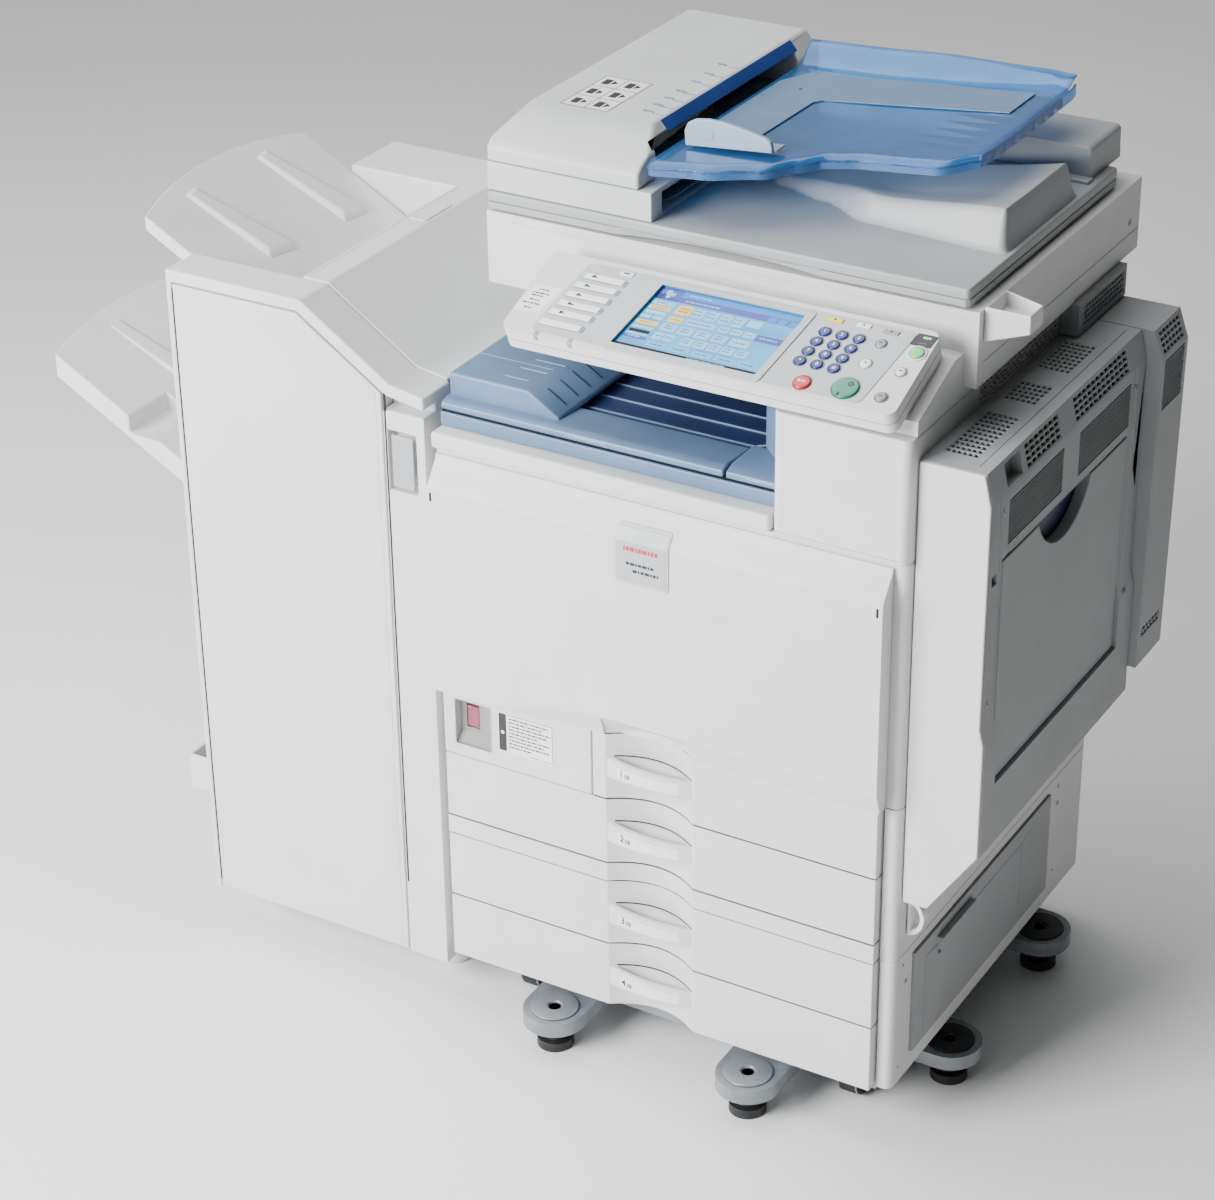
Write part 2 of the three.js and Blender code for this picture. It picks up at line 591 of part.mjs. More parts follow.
function lidAndFeeder() {
  const plate = box(lidLeft, lidRight, lidFront, lidRear, lidBottom, lidTop);
  const gripLeft = lidLeft + 165;
  const grip = arc([gripLeft + 244, lidFront - 1], [gripLeft, lidFront - 1], 20, 10);
  const scoop = prism("z", grip, lidBottom - 1, lidTop - 6);
  // Raised output surface: a curved plan whose top climbs to the right
  const stackRight = lidRight - 6;
  const plan = [
    [feederRight + 80, 300],
    [feederRight + 140, 286],
    [stackRight - 166, 232],
    [stackRight, 228],
    [stackRight, 398],
    [feederRight + 80, 398],
  ];
  const climb = [
    [feederRight + 70, lidTop - 1],
    [feederRight + 70, lidTop + 2],
    [stackRight - 162, lidTop + 26],
    [stackRight - 10, lidTop + 42],
    [stackRight + 1, lidTop - 1],
  ];
  const stack = prism("z", plan, lidTop - 1, lidTop + 60).intersect(prism("y", climb, 200, 420));
  const hingeBlock = box(lidRight - 164, lidRight - 12, 462, feederRear, lidTop - 4, lidTop + 38);
  const hingeArms = [lidLeft + 40, lidRight - 100].map(
    (x) => box(x, x + 50, lidRear - 1, hingeY, lidBottom, lidTop - 3),
  );
  part(machine, "platen_cover", join(cut(plate, scoop), stack, hingeBlock, ...hingeArms), "white");

  const bodyFront = lidFront + 3;
  const base = box(lidLeft, feederRight, bodyFront, feederRear, lidTop + fit, feederSplit);
  const mouth = box(
    feederRight - 120,
    feederRight + 1,
    bodyFront + 24,
    feederRear - 60,
    lidTop + fit + 3,
    feederSplit - 6,
  );
  const rearCut = box(lidLeft - 1, feederRight + 1, lidRear + 5, feederRear + 1, lidTop, lidTop + 6);
  part(machine, "feeder_body", cut(base, mouth, rearCut), "white");

  const z0 = feederSplit + fit;
  const across = [
    [lidLeft, z0],
    [feederRight - 16, z0],
    [feederRight - 16, feederTop - 26],
    [feederRight - 34, feederTop - 5],
    [lidLeft + 18, feederTop - 5],
    [lidLeft, feederTop - 32],
  ];
  const along = [
    [bodyFront, z0],
    [feederRear, z0],
    [feederRear, feederTop],
    [bodyFront + 66, feederTop - 5],
    [bodyFront + 8, feederTop - 32],
    [bodyFront, feederTop - 40],
  ];
  const hood = prism("y", across, 0, bodyDepth + 60).intersect(
    prism("x", along, lidLeft - 1, feederRight + 1),
  );
  const throat = box(feederRight - 70, feederRight, bodyFront + 40, feederRear - 50, z0 - 1, feederTop - 18);
  part(machine, "feeder_cover", cut(hood, throat), "white");
  const rollerAt = [feederRight - 50, z0 + 6 + 14];
  part(machine, "pickup_roller", rod("y", rollerAt, 11, bodyFront + 150, bodyFront + 210, 20), "black");

  // Original tray: a thin sheet that sags a little and climbs to the right
  const trayFront = lidFront + 17;
  const trayRear = 522;
  const thick = 3;
  const trayStart = [feederRight - 12, z0 + 28];
  const trayEnd = [lidRight - 46, feederTop - 2];
  const top = arc(trayEnd, trayStart, -5, 10);
  const bottom = arc([trayStart[0], trayStart[1] - thick], [trayEnd[0], trayEnd[1] - thick], 5, 10);
  const sheet = prism("y", [...top, ...bottom], trayFront, trayRear);
  part(machine, "original_tray", sheet, "clearBlue");
  const climbRate = (trayEnd[1] - trayStart[1]) / (trayEnd[0] - trayStart[0]);
  const rise = (x) => trayStart[1] + (x - trayStart[0]) * climbRate;
  // The one paper fence: originals lie against the tray's rear wall, and it slides up to them
  const fenceFront = 196;
  const fenceLeft = feederRight + 2;
  const fenceLength = 104;
  const fenceRight = fenceLeft + fenceLength;
  const foot = rise(fenceLeft) + fit;
  const fenceProfile = [
    [fenceLeft, foot],
    [fenceRight, rise(fenceRight) + fit],
    [fenceRight, foot + 30],
    [fenceLeft + fenceLength * 0.45, foot + 38],
    [fenceLeft, foot + 32],
  ];
  part(machine, "fence_front", prism("y", fenceProfile, fenceFront, fenceFront + 12), "paleBlue");
}

function rightSide() {
  const side = right + fit;
  const out = right + duplexReach;
  const profile = [
    [side, duplexToe],
    [side + 30, duplexToe],
    [out + 5, duplexShelf],
    [out + 5, duplexBelly],
    [out, duplexBelly + 18],
    [out, duplexTop - 34],
    [out - 8, duplexTop],
    [side, duplexTop],
  ];
  const shell = prism("y", profile, duplexFront, duplexRear);
  const inside = box(side - 1, out - 22, duplexFront + 22, duplexRear - 20, duplexShelf + 32, duplexTop - 20);
  const recess = box(
    out - 15, out + 6, bypassFront - seam, bypassRear + seam, bypassBottom - seam, bypassTop + seam,
  );
  part(machine, "duplex_unit", cut(shell, inside, recess), "white");
  const leaf = box(out - 13, out + 1, bypassFront, bypassRear, bypassBottom, bypassTop);
  const gripFront = 150;
  const gripRear = 290;
  const grip = arc([gripRear, bypassTop + 1], [gripFront, bypassTop + 1], -46, 10);
  const gripCut = prism("x", grip, out - 14, out + 2);
  part(machine, "bypass_tray", cut(leaf, gripCut), "white");

  const leverTop = duplexToe - 2.5;
  const ring = new THREE.Shape();
  ring.moveTo(side + 1, leverTop - 48);
  ring.absellipse(side + 1, leverTop - 24, 20, 24, -Math.PI / 2, Math.PI / 2);
  const hole = new THREE.Path();
  hole.moveTo(side + 5, leverTop - 40);
  hole.absellipse(side + 5, leverTop - 24, 11, 16, -Math.PI / 2, Math.PI / 2);
  ring.holes.push(hole);
  part(machine, "duplex_lever", prism("y", ring, 38, 52, 8), "white");
}

// Points across the finisher's top, from its left edge to its right one, lowered by drop
const finisherRight = left - 10.4;
const finisherLeft = finisherRight - finisherWidth;
function finisherTopLine(drop) {
  const flatEnd = finisherLeft + finisherShoulder - drop * 0.35;
  return [
    [finisherLeft, finisherTop - drop],
    [flatEnd, finisherTop - drop],
    [finisherRight - 45 - drop * 0.35, finisherFoot + 8 - drop],
    [finisherRight, finisherFoot - drop],
  ];
}

function finisher() {
  const rim = finisherLeft + 152;
  const capBack = finisherFront + capDepth;
  const rearBlock = finisherRear - 94;
  const seat = finisherFoot - 26;
  const lowFront = finisherFront + 24;
  const lower = box(finisherLeft, finisherRight, lowFront, finisherRear, finisherBottom, seat);
  const doorTop = 17;
  const topLine = finisherTopLine(0);
  const capBottom = finisherTopLine(doorTop - seam).reverse();
  const cap = prism("y", [...topLine, ...capBottom], finisherFront, capBack);
  const backing = prism(
    "y", [...finisherTopLine(4), [finisherRight, seat - 1], [finisherLeft, seat - 1]], lowFront, capBack,
  );
  const rear = prism(
    "y", [...topLine, [finisherRight, seat - 1], [finisherLeft, seat - 1]], rearBlock, finisherRear,
  );
  const columnLeftEdge = finisherRight - finisherColumn + seam;
  const column = box(columnLeftEdge, finisherRight, finisherFront, lowFront + 1, finisherBottom, seat + 2);
  const slotBottom = finisherBottom + 111;
  const gripRoom = box(
    columnLeftEdge + 5, finisherRight - 12, finisherFront - 1, finisherFront + 16, seat - 96, seat - 22,
  );
  const strip = box(
    finisherLeft,
    finisherLeft + 8,
    finisherFront,
    lowFront + 1,
    finisherBottom,
    finisherTop - doorTop + seam,
  );
  const room = box(
    finisherLeft + 20, columnLeftEdge - 10, lowFront - 1, finisherRear - 30, slotBottom + 80, seat - 24,
  );
  const bookletSlot = box(finisherLeft - 1, finisherLeft + 160, 44, 386, slotBottom, slotBottom + 52);
  const feetAt = [finisherLeft + 40, finisherRight - 40].flatMap((x) => [[x, 90], [x, 420]]);
  const casters = feetAt.map((at) => rod("z", at, 22, 0, finisherBottom + 1, 16));
  const body = cut(join(lower, cap, backing, rear, column, strip, ...casters), room, bookletSlot, gripRoom);
  part(machine, "finisher_body", body, "white");

  const doorLeftEdge = finisherLeft + 8 + slideGap;
  const doorRightEdge = columnLeftEdge - seam;
  const outline = [
    ...finisherTopLine(doorTop).slice(0, 3),
    [finisherRight, finisherFoot - doorTop],
    [finisherRight, finisherBottom + 3],
    [finisherLeft, finisherBottom + 3],
  ];
  const doorBlank = prism("y", outline, finisherFront, lowFront - fit);
  const door = doorBlank.intersect(box(doorLeftEdge, doorRightEdge, 0, lowFront, 0, finisherTop));
  part(machine, "finisher_door", door, "white");

  // Hood over the exit rollers, from the rim down the slope
  const hoodRight = (line) => [...line.slice(1, 3), [finisherRight - 4, line[3][1] + 1]];
  const outer = hoodRight(finisherTopLine(-1));
  const inner = hoodRight(finisherTopLine(4)).reverse();
  const lip = finisherTop - 42;
  const hood = [
    [rim, finisherTop + 1], ...outer, ...inner, [rim + 4, finisherTop - 4], [rim + 4, lip], [rim, lip],
  ];
  part(machine, "finisher_hood", prism("y", hood, capBack + fit, rearBlock - fit), "white");

  // Stacking trays slope up to the left, with a bowed end
  const tan = Math.tan(rad(trayAngle));
  const slab = (xHigh, xLow, zLow, thickness) => [
    [xLow, zLow],
    [xHigh, zLow + (xLow - xHigh) * tan],
    [xHigh, zLow + (xLow - xHigh) * tan - thickness],
    [xLow, zLow - thickness],
  ];
  const trayFront = capBack + 1;
  const trayRear = rearBlock - 1;
  const upperLeft = finisherLeft - 68;
  const bow = arc([upperLeft, trayRear], [upperLeft, trayFront], 24, 12);
  const upperPlan = prism("z", [...bow, [rim - 3, trayFront], [rim - 3, trayRear]], seat, finisherTop + 60);
  const upperSlab = prism("y", slab(upperLeft - 40, rim - 3, seat + 22, 18), trayFront - 1, trayRear + 1);
  part(machine, "upper_tray", upperPlan.intersect(upperSlab), "white");

  const shiftLeft = finisherLeft - 218;
  const shiftRight = finisherLeft - slideGap;
  const shiftFront = finisherFront + 48;
  const bow2 = arc([shiftLeft, trayRear], [shiftLeft, shiftFront], 20, 12);
  const shiftPlan = prism("z", [...bow2, [shiftRight, shiftFront], [shiftRight, trayRear]], 0, finisherTop);
  const shiftSlab = prism("y", slab(shiftLeft - 40, shiftRight, 592, 30), shiftFront - 1, trayRear + 1);
  const pocket = box(shiftLeft + 105, shiftLeft + 152, shiftFront - 1, shiftFront + 76, 630, 800);
  const pocketFloor = prism("y", slab(shiftLeft, shiftRight, 572, 60), 0, trayRear);
  const scoop = pocket.subtract(pocketFloor);
  part(machine, "shift_tray", shiftPlan.intersect(shiftSlab).subtract(scoop), "white");

  const bookletBottom = slotBottom + slideGap;
  const bookletTop = slotBottom + 50;
  const tray = box(finisherLeft - 54, finisherLeft + 150, 45, 385, bookletBottom, bookletTop);
  const trayRoom = box(finisherLeft - 50, finisherLeft + 146, 49, 381, bookletBottom + 6, bookletTop + 1);
  part(machine, "booklet_tray", cut(tray, trayRoom), "white");
}

paperBank();
levellingScrews();
drawers();
trayHousing();
engine();
outputSpace();
scanner();
operationPanel();
lidAndFeeder();
rightSide();
finisher();

// The model's origin is under the middle of its bounding box, on the floor
machine.updateMatrixWorld(true);
const bounds = new THREE.Box3().setFromObject(machine, true);
const middle = bounds.getCenter(new THREE.Vector3());
machine.position.set(-middle.x, -middle.y, -bounds.min.z);

export default machine;
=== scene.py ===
import json
import math

import bmesh
import bpy
from mathutils import Matrix, Vector

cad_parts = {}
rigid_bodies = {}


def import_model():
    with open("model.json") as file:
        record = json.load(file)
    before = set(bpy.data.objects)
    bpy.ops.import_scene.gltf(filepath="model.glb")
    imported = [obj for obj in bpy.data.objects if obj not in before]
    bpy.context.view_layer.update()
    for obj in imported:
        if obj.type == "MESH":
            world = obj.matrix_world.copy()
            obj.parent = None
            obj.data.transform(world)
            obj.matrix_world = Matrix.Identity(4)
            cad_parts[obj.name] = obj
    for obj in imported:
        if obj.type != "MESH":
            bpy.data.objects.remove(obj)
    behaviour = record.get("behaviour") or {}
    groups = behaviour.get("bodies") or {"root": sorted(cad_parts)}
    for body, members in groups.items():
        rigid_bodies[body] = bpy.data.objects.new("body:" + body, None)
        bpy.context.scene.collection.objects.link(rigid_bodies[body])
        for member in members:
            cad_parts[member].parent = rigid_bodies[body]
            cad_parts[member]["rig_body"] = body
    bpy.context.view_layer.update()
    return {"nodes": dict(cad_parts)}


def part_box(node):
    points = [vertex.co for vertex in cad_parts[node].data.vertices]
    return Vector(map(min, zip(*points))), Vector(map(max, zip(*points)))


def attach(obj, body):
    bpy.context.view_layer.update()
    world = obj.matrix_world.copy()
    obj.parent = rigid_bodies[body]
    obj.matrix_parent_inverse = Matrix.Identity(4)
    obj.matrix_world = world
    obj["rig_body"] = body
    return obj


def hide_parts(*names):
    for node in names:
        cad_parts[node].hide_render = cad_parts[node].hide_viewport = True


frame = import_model()
nodes = frame["nodes"]

# Places below are the machine's own millimetres: X to the right from the middle of the paper bank,
# Y to the back from the drawer fronts, Z up from the floor. MACHINE is where that zero lies.
MM = 0.001
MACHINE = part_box("switch_panel")[0] - Vector((-282, 0, 361.5)) * MM


def at(x, y, z):
    return MACHINE + Vector((x, y, z)) * MM


def edges(node):
    """A CAD node's box as (x0, y0, z0), (x1, y1, z1) in the machine's millimetres."""
    return [tuple((corner - MACHINE) / MM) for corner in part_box(node)]


# ---- Finishes -------------------------------------------------------------------------------------


def linear(code):
    """An sRGB hex colour as linear RGBA."""
    parts = [int(code[i : i + 2], 16) / 255 for i in (0, 2, 4)]
    return [c / 12.92 if c <= 0.04045 else ((c + 0.055) / 1.055) ** 2.4 for c in parts] + [1.0]


def add(tree, kind, inputs=None, **settings):
    """Adds a shader node with its properties, and fills its inputs with values or other nodes' outputs."""
    new = tree.nodes.new("ShaderNode" + kind)
    for key, value in settings.items():
        setattr(new, key, value)
    for key, value in (inputs or {}).items():
        if isinstance(value, bpy.types.NodeSocket):
            tree.links.new(value, new.inputs[key])
        else:
            new.inputs[key].default_value = value
    return new


def moulded(name, tint, shade, grain=1.6, relief=0.02, gloss=(0.42, 0.55), cloud=90, sockets=None):
    """A moulded plastic: two close tints in soft clouds, a fine grain in the surface, uneven gloss.

    grain and cloud are sizes in millimetres, relief is the grain's depth in millimetres."""
    material = bpy.data.materials.new(name)
    material.use_nodes = True
    tree = material.node_tree
    surface = tree.nodes["Principled BSDF"]
    place = add(tree, "TexCoord").outputs["Object"]
    patches = add(
        tree, "TexNoise", {"Vector": place, "Scale": 1 / (cloud * MM), "Detail": 3, "Roughness": 0.6}
    )
    pores = add(tree, "TexNoise", {"Vector": place, "Scale": 1 / (grain * MM), "Detail": 2})
    spread = add(tree, "MapRange", {"Value": patches.outputs["Fac"], "From Min": 0.35, "From Max": 0.65})
    blend = add(
        tree,
        "Mix",
        {0: spread.outputs[0], 6: linear(tint), 7: linear(shade)},
        data_type="RGBA",
    )
    speck = add(
        tree, "MapRange",
        {"Value": pores.outputs["Fac"], "From Min": 0.3, "From Max": 0.7, "To Min": 0.97}
    )
    fine = add(
        tree, "Mix", {0: 1.0, 6: blend.outputs[2], 7: speck.outputs[0]}, data_type="RGBA",
        blend_type="MULTIPLY"
    )
    sheen = add(
        tree,
        "MapRange",
        {
            "Value": pores.outputs["Fac"], "From Min": 0.3, "From Max": 0.7, "To Min": gloss[0],
            "To Max": gloss[1]
        },
    )
    dimple = add(tree, "Bump", {"Height": pores.outputs["Fac"], "Distance": relief * MM, "Strength": 1.0})
    tree.links.new(fine.outputs[2], surface.inputs["Base Color"])
    tree.links.new(sheen.outputs[0], surface.inputs["Roughness"])
    tree.links.new(dimple.outputs[0], surface.inputs["Normal"])
    for key, value in (sockets or {}).items():
        surface.inputs[key].default_value = value
    return material


CLOUDS = 90  # how far the tint drifts across a cover, in millimetres


def silicone_key(colour, tint, shade, gloss=(0.18, 0.26), coat=0.5):
    """Moulded silicone rubber under a hard clear coat: even colour with a small sharp highlight."""
    return moulded("silicone_key_" + colour, tint, shade, 0.5, 0.004, gloss, CLOUDS, {"Coat Weight": coat})


def display_film(colour, tint, shade, cloud, coat=0.3):
    """Polyester touch film over the display: bright flat colours under a glassy face."""
    return moulded(
        "polyester_film_" + colour, tint, shade, 0.6, 0.001, (0.12, 0.2), cloud, {"Coat Weight": coat}
    )


def acrylic_lens(colour, tint, shade):
    """Moulded acrylic lens of an indicator lamp: deep colour and a wet-looking highlight."""
    return moulded("acrylic_lens_" + colour, tint, shade, 0.5, 0.001, (0.1, 0.2), 10, {"Coat Weight": 0.5})


# ABS covers, moulded in a spark-eroded tool: an even matt white with a fine leathery grain
cover_white = moulded("abs_white", "dcdddc", "d7d8d7", grain=1.4)
# The same ABS, slightly greyer, for the feeder's lid and body, the badge plate and small trims; partly
# painted shade, as the grey darkens the feeder's upward faces and the drawer's finger cup for the shade they
# lie in
cover_pale = moulded("abs_pale_grey", "c9cbcb", "c3c5c6", grain=1.4)
# ABS of the side covers, mid grey as painted shade for the right side, which faces away from the light: a
# coarser, duller grain
side_painted_shade_grey = moulded("abs_side_painted_shade_grey", "a0a2a4", "9a9c9e", grain=1.8, relief=0.03, gloss=(0.5, 0.62))
# ABS of the platen cover, silver-grey as painted shade for its upward faces, which get less light than the
# fronts: a soft sheen
lid_painted_shade_grey = moulded("abs_lid_painted_shade_grey", "a6a8aa", "a0a2a4", grain=1.2, gloss=(0.36, 0.46))
# ABS in mid grey, for the drawer boxes and the hidden frame: the same fine matt grain
cover_grey = moulded("abs_mid_grey", "a9adb1", "9fa3a8", grain=1.4)
# ABS in a warmer grey, for the power switch's well: dull beside the cool white cover
switch_grey = moulded("abs_warm_grey", "b9b8b2", "b1b0a9", grain=1.4)
# Glass-filled nylon, moulded: nearly black, a coarse dull grain
nylon_black = moulded("nylon_black", "1b1c1e", "232427", grain=0.9, relief=0.03, gloss=(0.45, 0.65))
# Near-black dull plastic, almost lightless: the own black of joints, seams, inner parts and the display's
# footer, and painted shade in the dark sheets that stand in for the shade inside slots, holes and throats
dark_and_painted_shade = moulded("black_plastic_and_painted_shade", "0c0d10", "15161a", grain=1.2, gloss=(0.6, 0.8))
# Polystyrene in blue-grey, moulded smooth so that paper slides on it: a soft shine
tray_blue = moulded("polystyrene_blue_grey", "66809f", "5e7897", 0.7, 0.008, (0.28, 0.38))
# Polystyrene in a pale blue, for the paper guides: the same soft shine
guide_blue = moulded("polystyrene_pale_blue", "97aabd", "8da1b5", 0.7, 0.008, (0.26, 0.36))
# Polystyrene in a duller blue, for the original tray's guide: a touch darker than the tray
rack_mist = moulded("polystyrene_mist", "5d7590", "566d87", 0.7, 0.008, (0.26, 0.36))
# Polystyrene in navy, for the rack under the inner tray: deep colour in the shade
rack_navy = moulded("polystyrene_navy", "24365f", "1d2c51", 0.7, 0.008, (0.3, 0.42))
# Die-cast zinc under satin silver paint: a slight orange-peel surface
cast_silver = moulded("painted_casting", "8f959b", "7c8288", 2.2, 0.03, (0.3, 0.42), 30, {"Metallic": 0.35})
# Zinc-plated steel, pressed or turned: cool grey metal with an uneven shine
steel = moulded("zinc_steel", "b9bcc0", "a3a7ab", 0.4, 0.01, (0.22, 0.34), 12, {"Metallic": 1.0})
# EPDM rubber, ground to a dull velvet
rubber = moulded("epdm_rubber", "202224", "292b2e", grain=0.8, relief=0.05, gloss=(0.7, 0.85))
# Silicone-rubber keys, each colour its own shot of rubber: clean, saturated and slightly glossy
key_navy = silicone_key("navy", "142a74", "102364", (0.2, 0.28), 0.4)
key_teal = silicone_key("teal", "058a68", "047a5b")
key_red = silicone_key("red", "d00717", "bb0614")
key_green = silicone_key("green", "6fe07e", "5fd06e")
key_yellow = silicone_key("yellow", "eed40f", "dcc40c", (0.2, 0.3), 0.4)
key_grey = silicone_key("grey", "8c929b", "80868f", (0.2, 0.3), 0.4)
key_white = silicone_key("white", "f3f4f4", "eaebeb", (0.2, 0.3), 0.4)
# Polycarbonate face sheet of the operation panel, back-printed: a silky grey under a clear face
panel_silver = moulded(
    "printed_polycarbonate", "b4b9bc", "aeb3b7", 0.6, 0.006, (0.3, 0.38), CLOUDS, {"Coat Weight": 0.3}
)
# Coated label paper, calendered: clean white with a low sheen
label_white = moulded("label_paper", "f4f4f2", "eeeeeb", 0.6, 0.004, (0.4, 0.5))
# Offset printing inks, rolled on thin: solid colour, a little glossier than the paper
ink_black = moulded("printing_ink_black", "1d1e20", "26272a", 0.6, 0.004, (0.35, 0.45))
ink_blue = moulded("printing_ink_blue", "2b4f9e", "25478f", 0.6, 0.004, (0.3, 0.4))
# Polypropylene toner bottles, blow-moulded: waxy, slightly uneven colour
toner = {
    "black": moulded("polypropylene_bottle_black", "1d1e21", "26272b"),
    "cyan": moulded("polypropylene_bottle_cyan", "1c93c4", "1783b0"),
    "magenta": moulded("polypropylene_bottle_magenta", "c4257f", "b01f72"),
    "yellow": moulded("polypropylene_bottle_yellow", "edd02b", "dfc223"),
}
# Tinted polycarbonate rocker, moulded and polished: glossy pink
rocker_pink = moulded(
    "polycarbonate_pink", "b83a63", "a83258", 0.5, 0.003, (0.12, 0.2), CLOUDS, {"Coat Weight": 0.6}
)
# Float glass of the platen: mirror-smooth and faintly green
platen_glass = moulded(
    "float_glass", "cfe0dc", "c8dad6", 6, 0.001, (0.03, 0.06), CLOUDS,
    {"Transmission Weight": 0.9, "IOR": 1.52},
)
# Blue-tinted clear polystyrene of the original tray, moulded and polished: it shows bright edges
clear_blue = moulded(
    "clear_blue_polystyrene", "5aa9ee", "4a9ae4", 3, 0.004, (0.05, 0.12), 60,
    {"Transmission Weight": 0.82, "IOR": 1.5},
)
# The same polystyrene where the ribs under the tray make it deep: dark blue that light hardly passes
deep_blue = moulded(
    "deep_blue_polystyrene", "12408c", "0e377c", 3, 0.004, (0.05, 0.12), CLOUDS,
    {"Transmission Weight": 0.1, "IOR": 1.5},
)
# Clear polycarbonate window, moulded thin: a low IOR keeps what lies behind it bright
clear_window = moulded(
    "clear_polycarbonate", "fbfdfd", "f6fafb", 3, 0.001, (0.0, 0.03), CLOUDS,
    {"Transmission Weight": 1.0, "IOR": 1.2},
)
# Polyester touch film over the display, one material for each colour seen through it
lcd_sky = display_film("sky", "0a7fc4", "27a4de", 60)
lcd_blue = display_film("blue", "052f94", "0739a4", 40)
lcd_pale = display_film("pale", "86c4e4", "72b6da", 30)
lcd_yellow = display_film("yellow", "efc93a", "e3bc2c", 30)
lcd_sky_deep = display_film("deep_sky", "1473c4", "1d80cf", 40, 0)
lcd_tab = display_film("tab", "5fb4e4", "4da6dc", 30, 0)
lcd_ink = display_film("ink", "23406e", "1c3560", 30, 0)
# Acrylic lenses of the indicator lamps: lit green, unlit dark and a smoked one
lamp_green = acrylic_lens("green", "8ff06a", "7ce458")
lamp_dark = acrylic_lens("dark", "3a3c46", "30323b")
lamp_smoke = acrylic_lens("smoke", "9a939e", "8b8490")

# ---- Shapes ---------------------------------------------------------------------------------------
# A shape is (points, faces) in millimetres.


def arc(a, b, sag, steps=10):
    """Points on the arc from a to b that stands off their chord by sag, to the right of the way there."""
    half = math.dist(a, b) / 2
    radius = (half * half + sag * sag) / (2 * sag)
    across = ((b[1] - a[1]) / (2 * half), (a[0] - b[0]) / (2 * half))
    centre = [(a[i] + b[i]) / 2 - across[i] * (radius - sag) for i in (0, 1)]
    start = math.atan2(a[1] - centre[1], a[0] - centre[0])
    sweep = math.copysign(2 * math.asin(min(1, half / abs(radius))), sag)
    turns = [start + sweep * i / steps for i in range(steps + 1)]
    return [(centre[0] + abs(radius) * math.cos(t), centre[1] + abs(radius) * math.sin(t)) for t in turns]


def rounded(u0, v0, u1, v1, r, steps=5):
    """A rectangle's outline with round corners."""
    corners = ((u1 - r, v0 + r, -90), (u1 - r, v1 - r, 0), (u0 + r, v1 - r, 90), (u0 + r, v0 + r, 180))
    points = []
    for u, v, start in corners:
        for i in range(steps + 1):
            t = math.radians(start + 90 * i / steps)
            points.append((u + r * math.cos(t), v + r * math.sin(t)))
    return points


def rect(u0, v0, u1, v1):
    return [(u0, v0), (u1, v0), (u1, v1), (u0, v1)]


def disc(u, v, r, sides=32):
    turns = [2 * math.pi * i / sides for i in range(sides)]
    return [(u + r * math.cos(t), v + r * math.sin(t)) for t in turns]


def spot(axis, u, v, w):
    """The point with coordinate w along axis and (u, v) on the other two axes, in X, Y, Z order."""
    return {"x": (w, u, v), "y": (u, w, v), "z": (u, v, w)}[axis]


def loft(rings, closed=False):
    """A skin through rings of equally many points, with a face at each end."""
    count = len(rings[0])
    points = [p for ring in rings for p in ring]
    spans = len(rings) if closed else len(rings) - 1
    faces = []
    for k in range(spans):
        low = k * count
        high = ((k + 1) % len(rings)) * count
        for i in range(count):
            j = (i + 1) % count
            faces.append((low + i, low + j, high + j, high + i))
    if not closed:
        faces.append(tuple(range(count))[::-1])
        faces.append(tuple(range(len(points) - count, len(points))))
    return points, faces


def prism(axis, outline, start, end):
    return loft([[spot(axis, u, v, w) for u, v in outline] for w in (start, end)])


def block(x0, x1, y0, y1, z0, z1):
    return prism("z", rect(x0, y0, x1, y1), z0, z1)


def turned(axis, centre, profile, sides=32):
    """A body of revolution. profile holds (radius, height along axis) pairs."""
    rings = [[spot(axis, u, v, w) for u, v in disc(*centre, r, sides)] for r, w in profile]
    return loft(rings)


def together(*shapes):
    points, faces = [], []
    for more, corners in shapes:
        start = len(points)
        points += more
        faces += [tuple(i + start for i in face) for face in corners]
    return points, faces


def moved(shape, place):
    """The shape with each point passed through place(x, y, z)."""
    return [place(*p) for p in shape[0]], shape[1]


def mesh_of(name, shape):
    mesh = bpy.data.meshes.new(name)
    mesh.from_pydata([at(*p) for p in shape[0]], [], shape[1])
    bm = bmesh.new()
    bm.from_mesh(mesh)
    bmesh.ops.remove_doubles(bm, verts=bm.verts, dist=1e-6)
    bmesh.ops.recalc_face_normals(bm, faces=bm.faces)
    bm.to_mesh(mesh)
    bm.free()
    return mesh


def soften(obj, width, segments=3, angle=32):
    """Smooth shading, with each edge sharper than angle rounded to width millimetres."""
    obj.data.shade_smooth()
    if width:
        bevel = obj.modifiers.new("rounding", "BEVEL")
        bevel.width = width * MM
        bevel.segments = segments
        bevel.limit_method = "ANGLE"
        bevel.angle_limit = math.radians(angle)
        bevel.use_clamp_overlap = True
    even = obj.modifiers.new("even_shading", "WEIGHTED_NORMAL")
    even.keep_sharp = True
    return obj


def piece(name, shape, body, material, edge=0.6, segments=2):
    """A new piece that rides on body, in the given material."""
    obj = bpy.data.objects.new(name, mesh_of(name, shape))
    bpy.context.scene.collection.objects.link(obj)
    obj.data.materials.append(material)
    soften(obj, edge, segments)
    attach(obj, body)
    return obj


def clean_copy(name, node):
    """A CAD node's solid as a new object, its flat faces in one piece each."""
    mesh = nodes[node].data.copy()
    mesh.name = name
    bm = bmesh.new()
    bm.from_mesh(mesh)
    bmesh.ops.remove_doubles(bm, verts=bm.verts, dist=2e-6)
    bmesh.ops.dissolve_limit(bm, angle_limit=math.radians(1), verts=bm.verts, edges=bm.edges)
    bm.to_mesh(mesh)
    bm.free()
    mesh.materials.clear()
    obj = bpy.data.objects.new(name, mesh)
    bpy.context.scene.collection.objects.link(obj)
    return obj


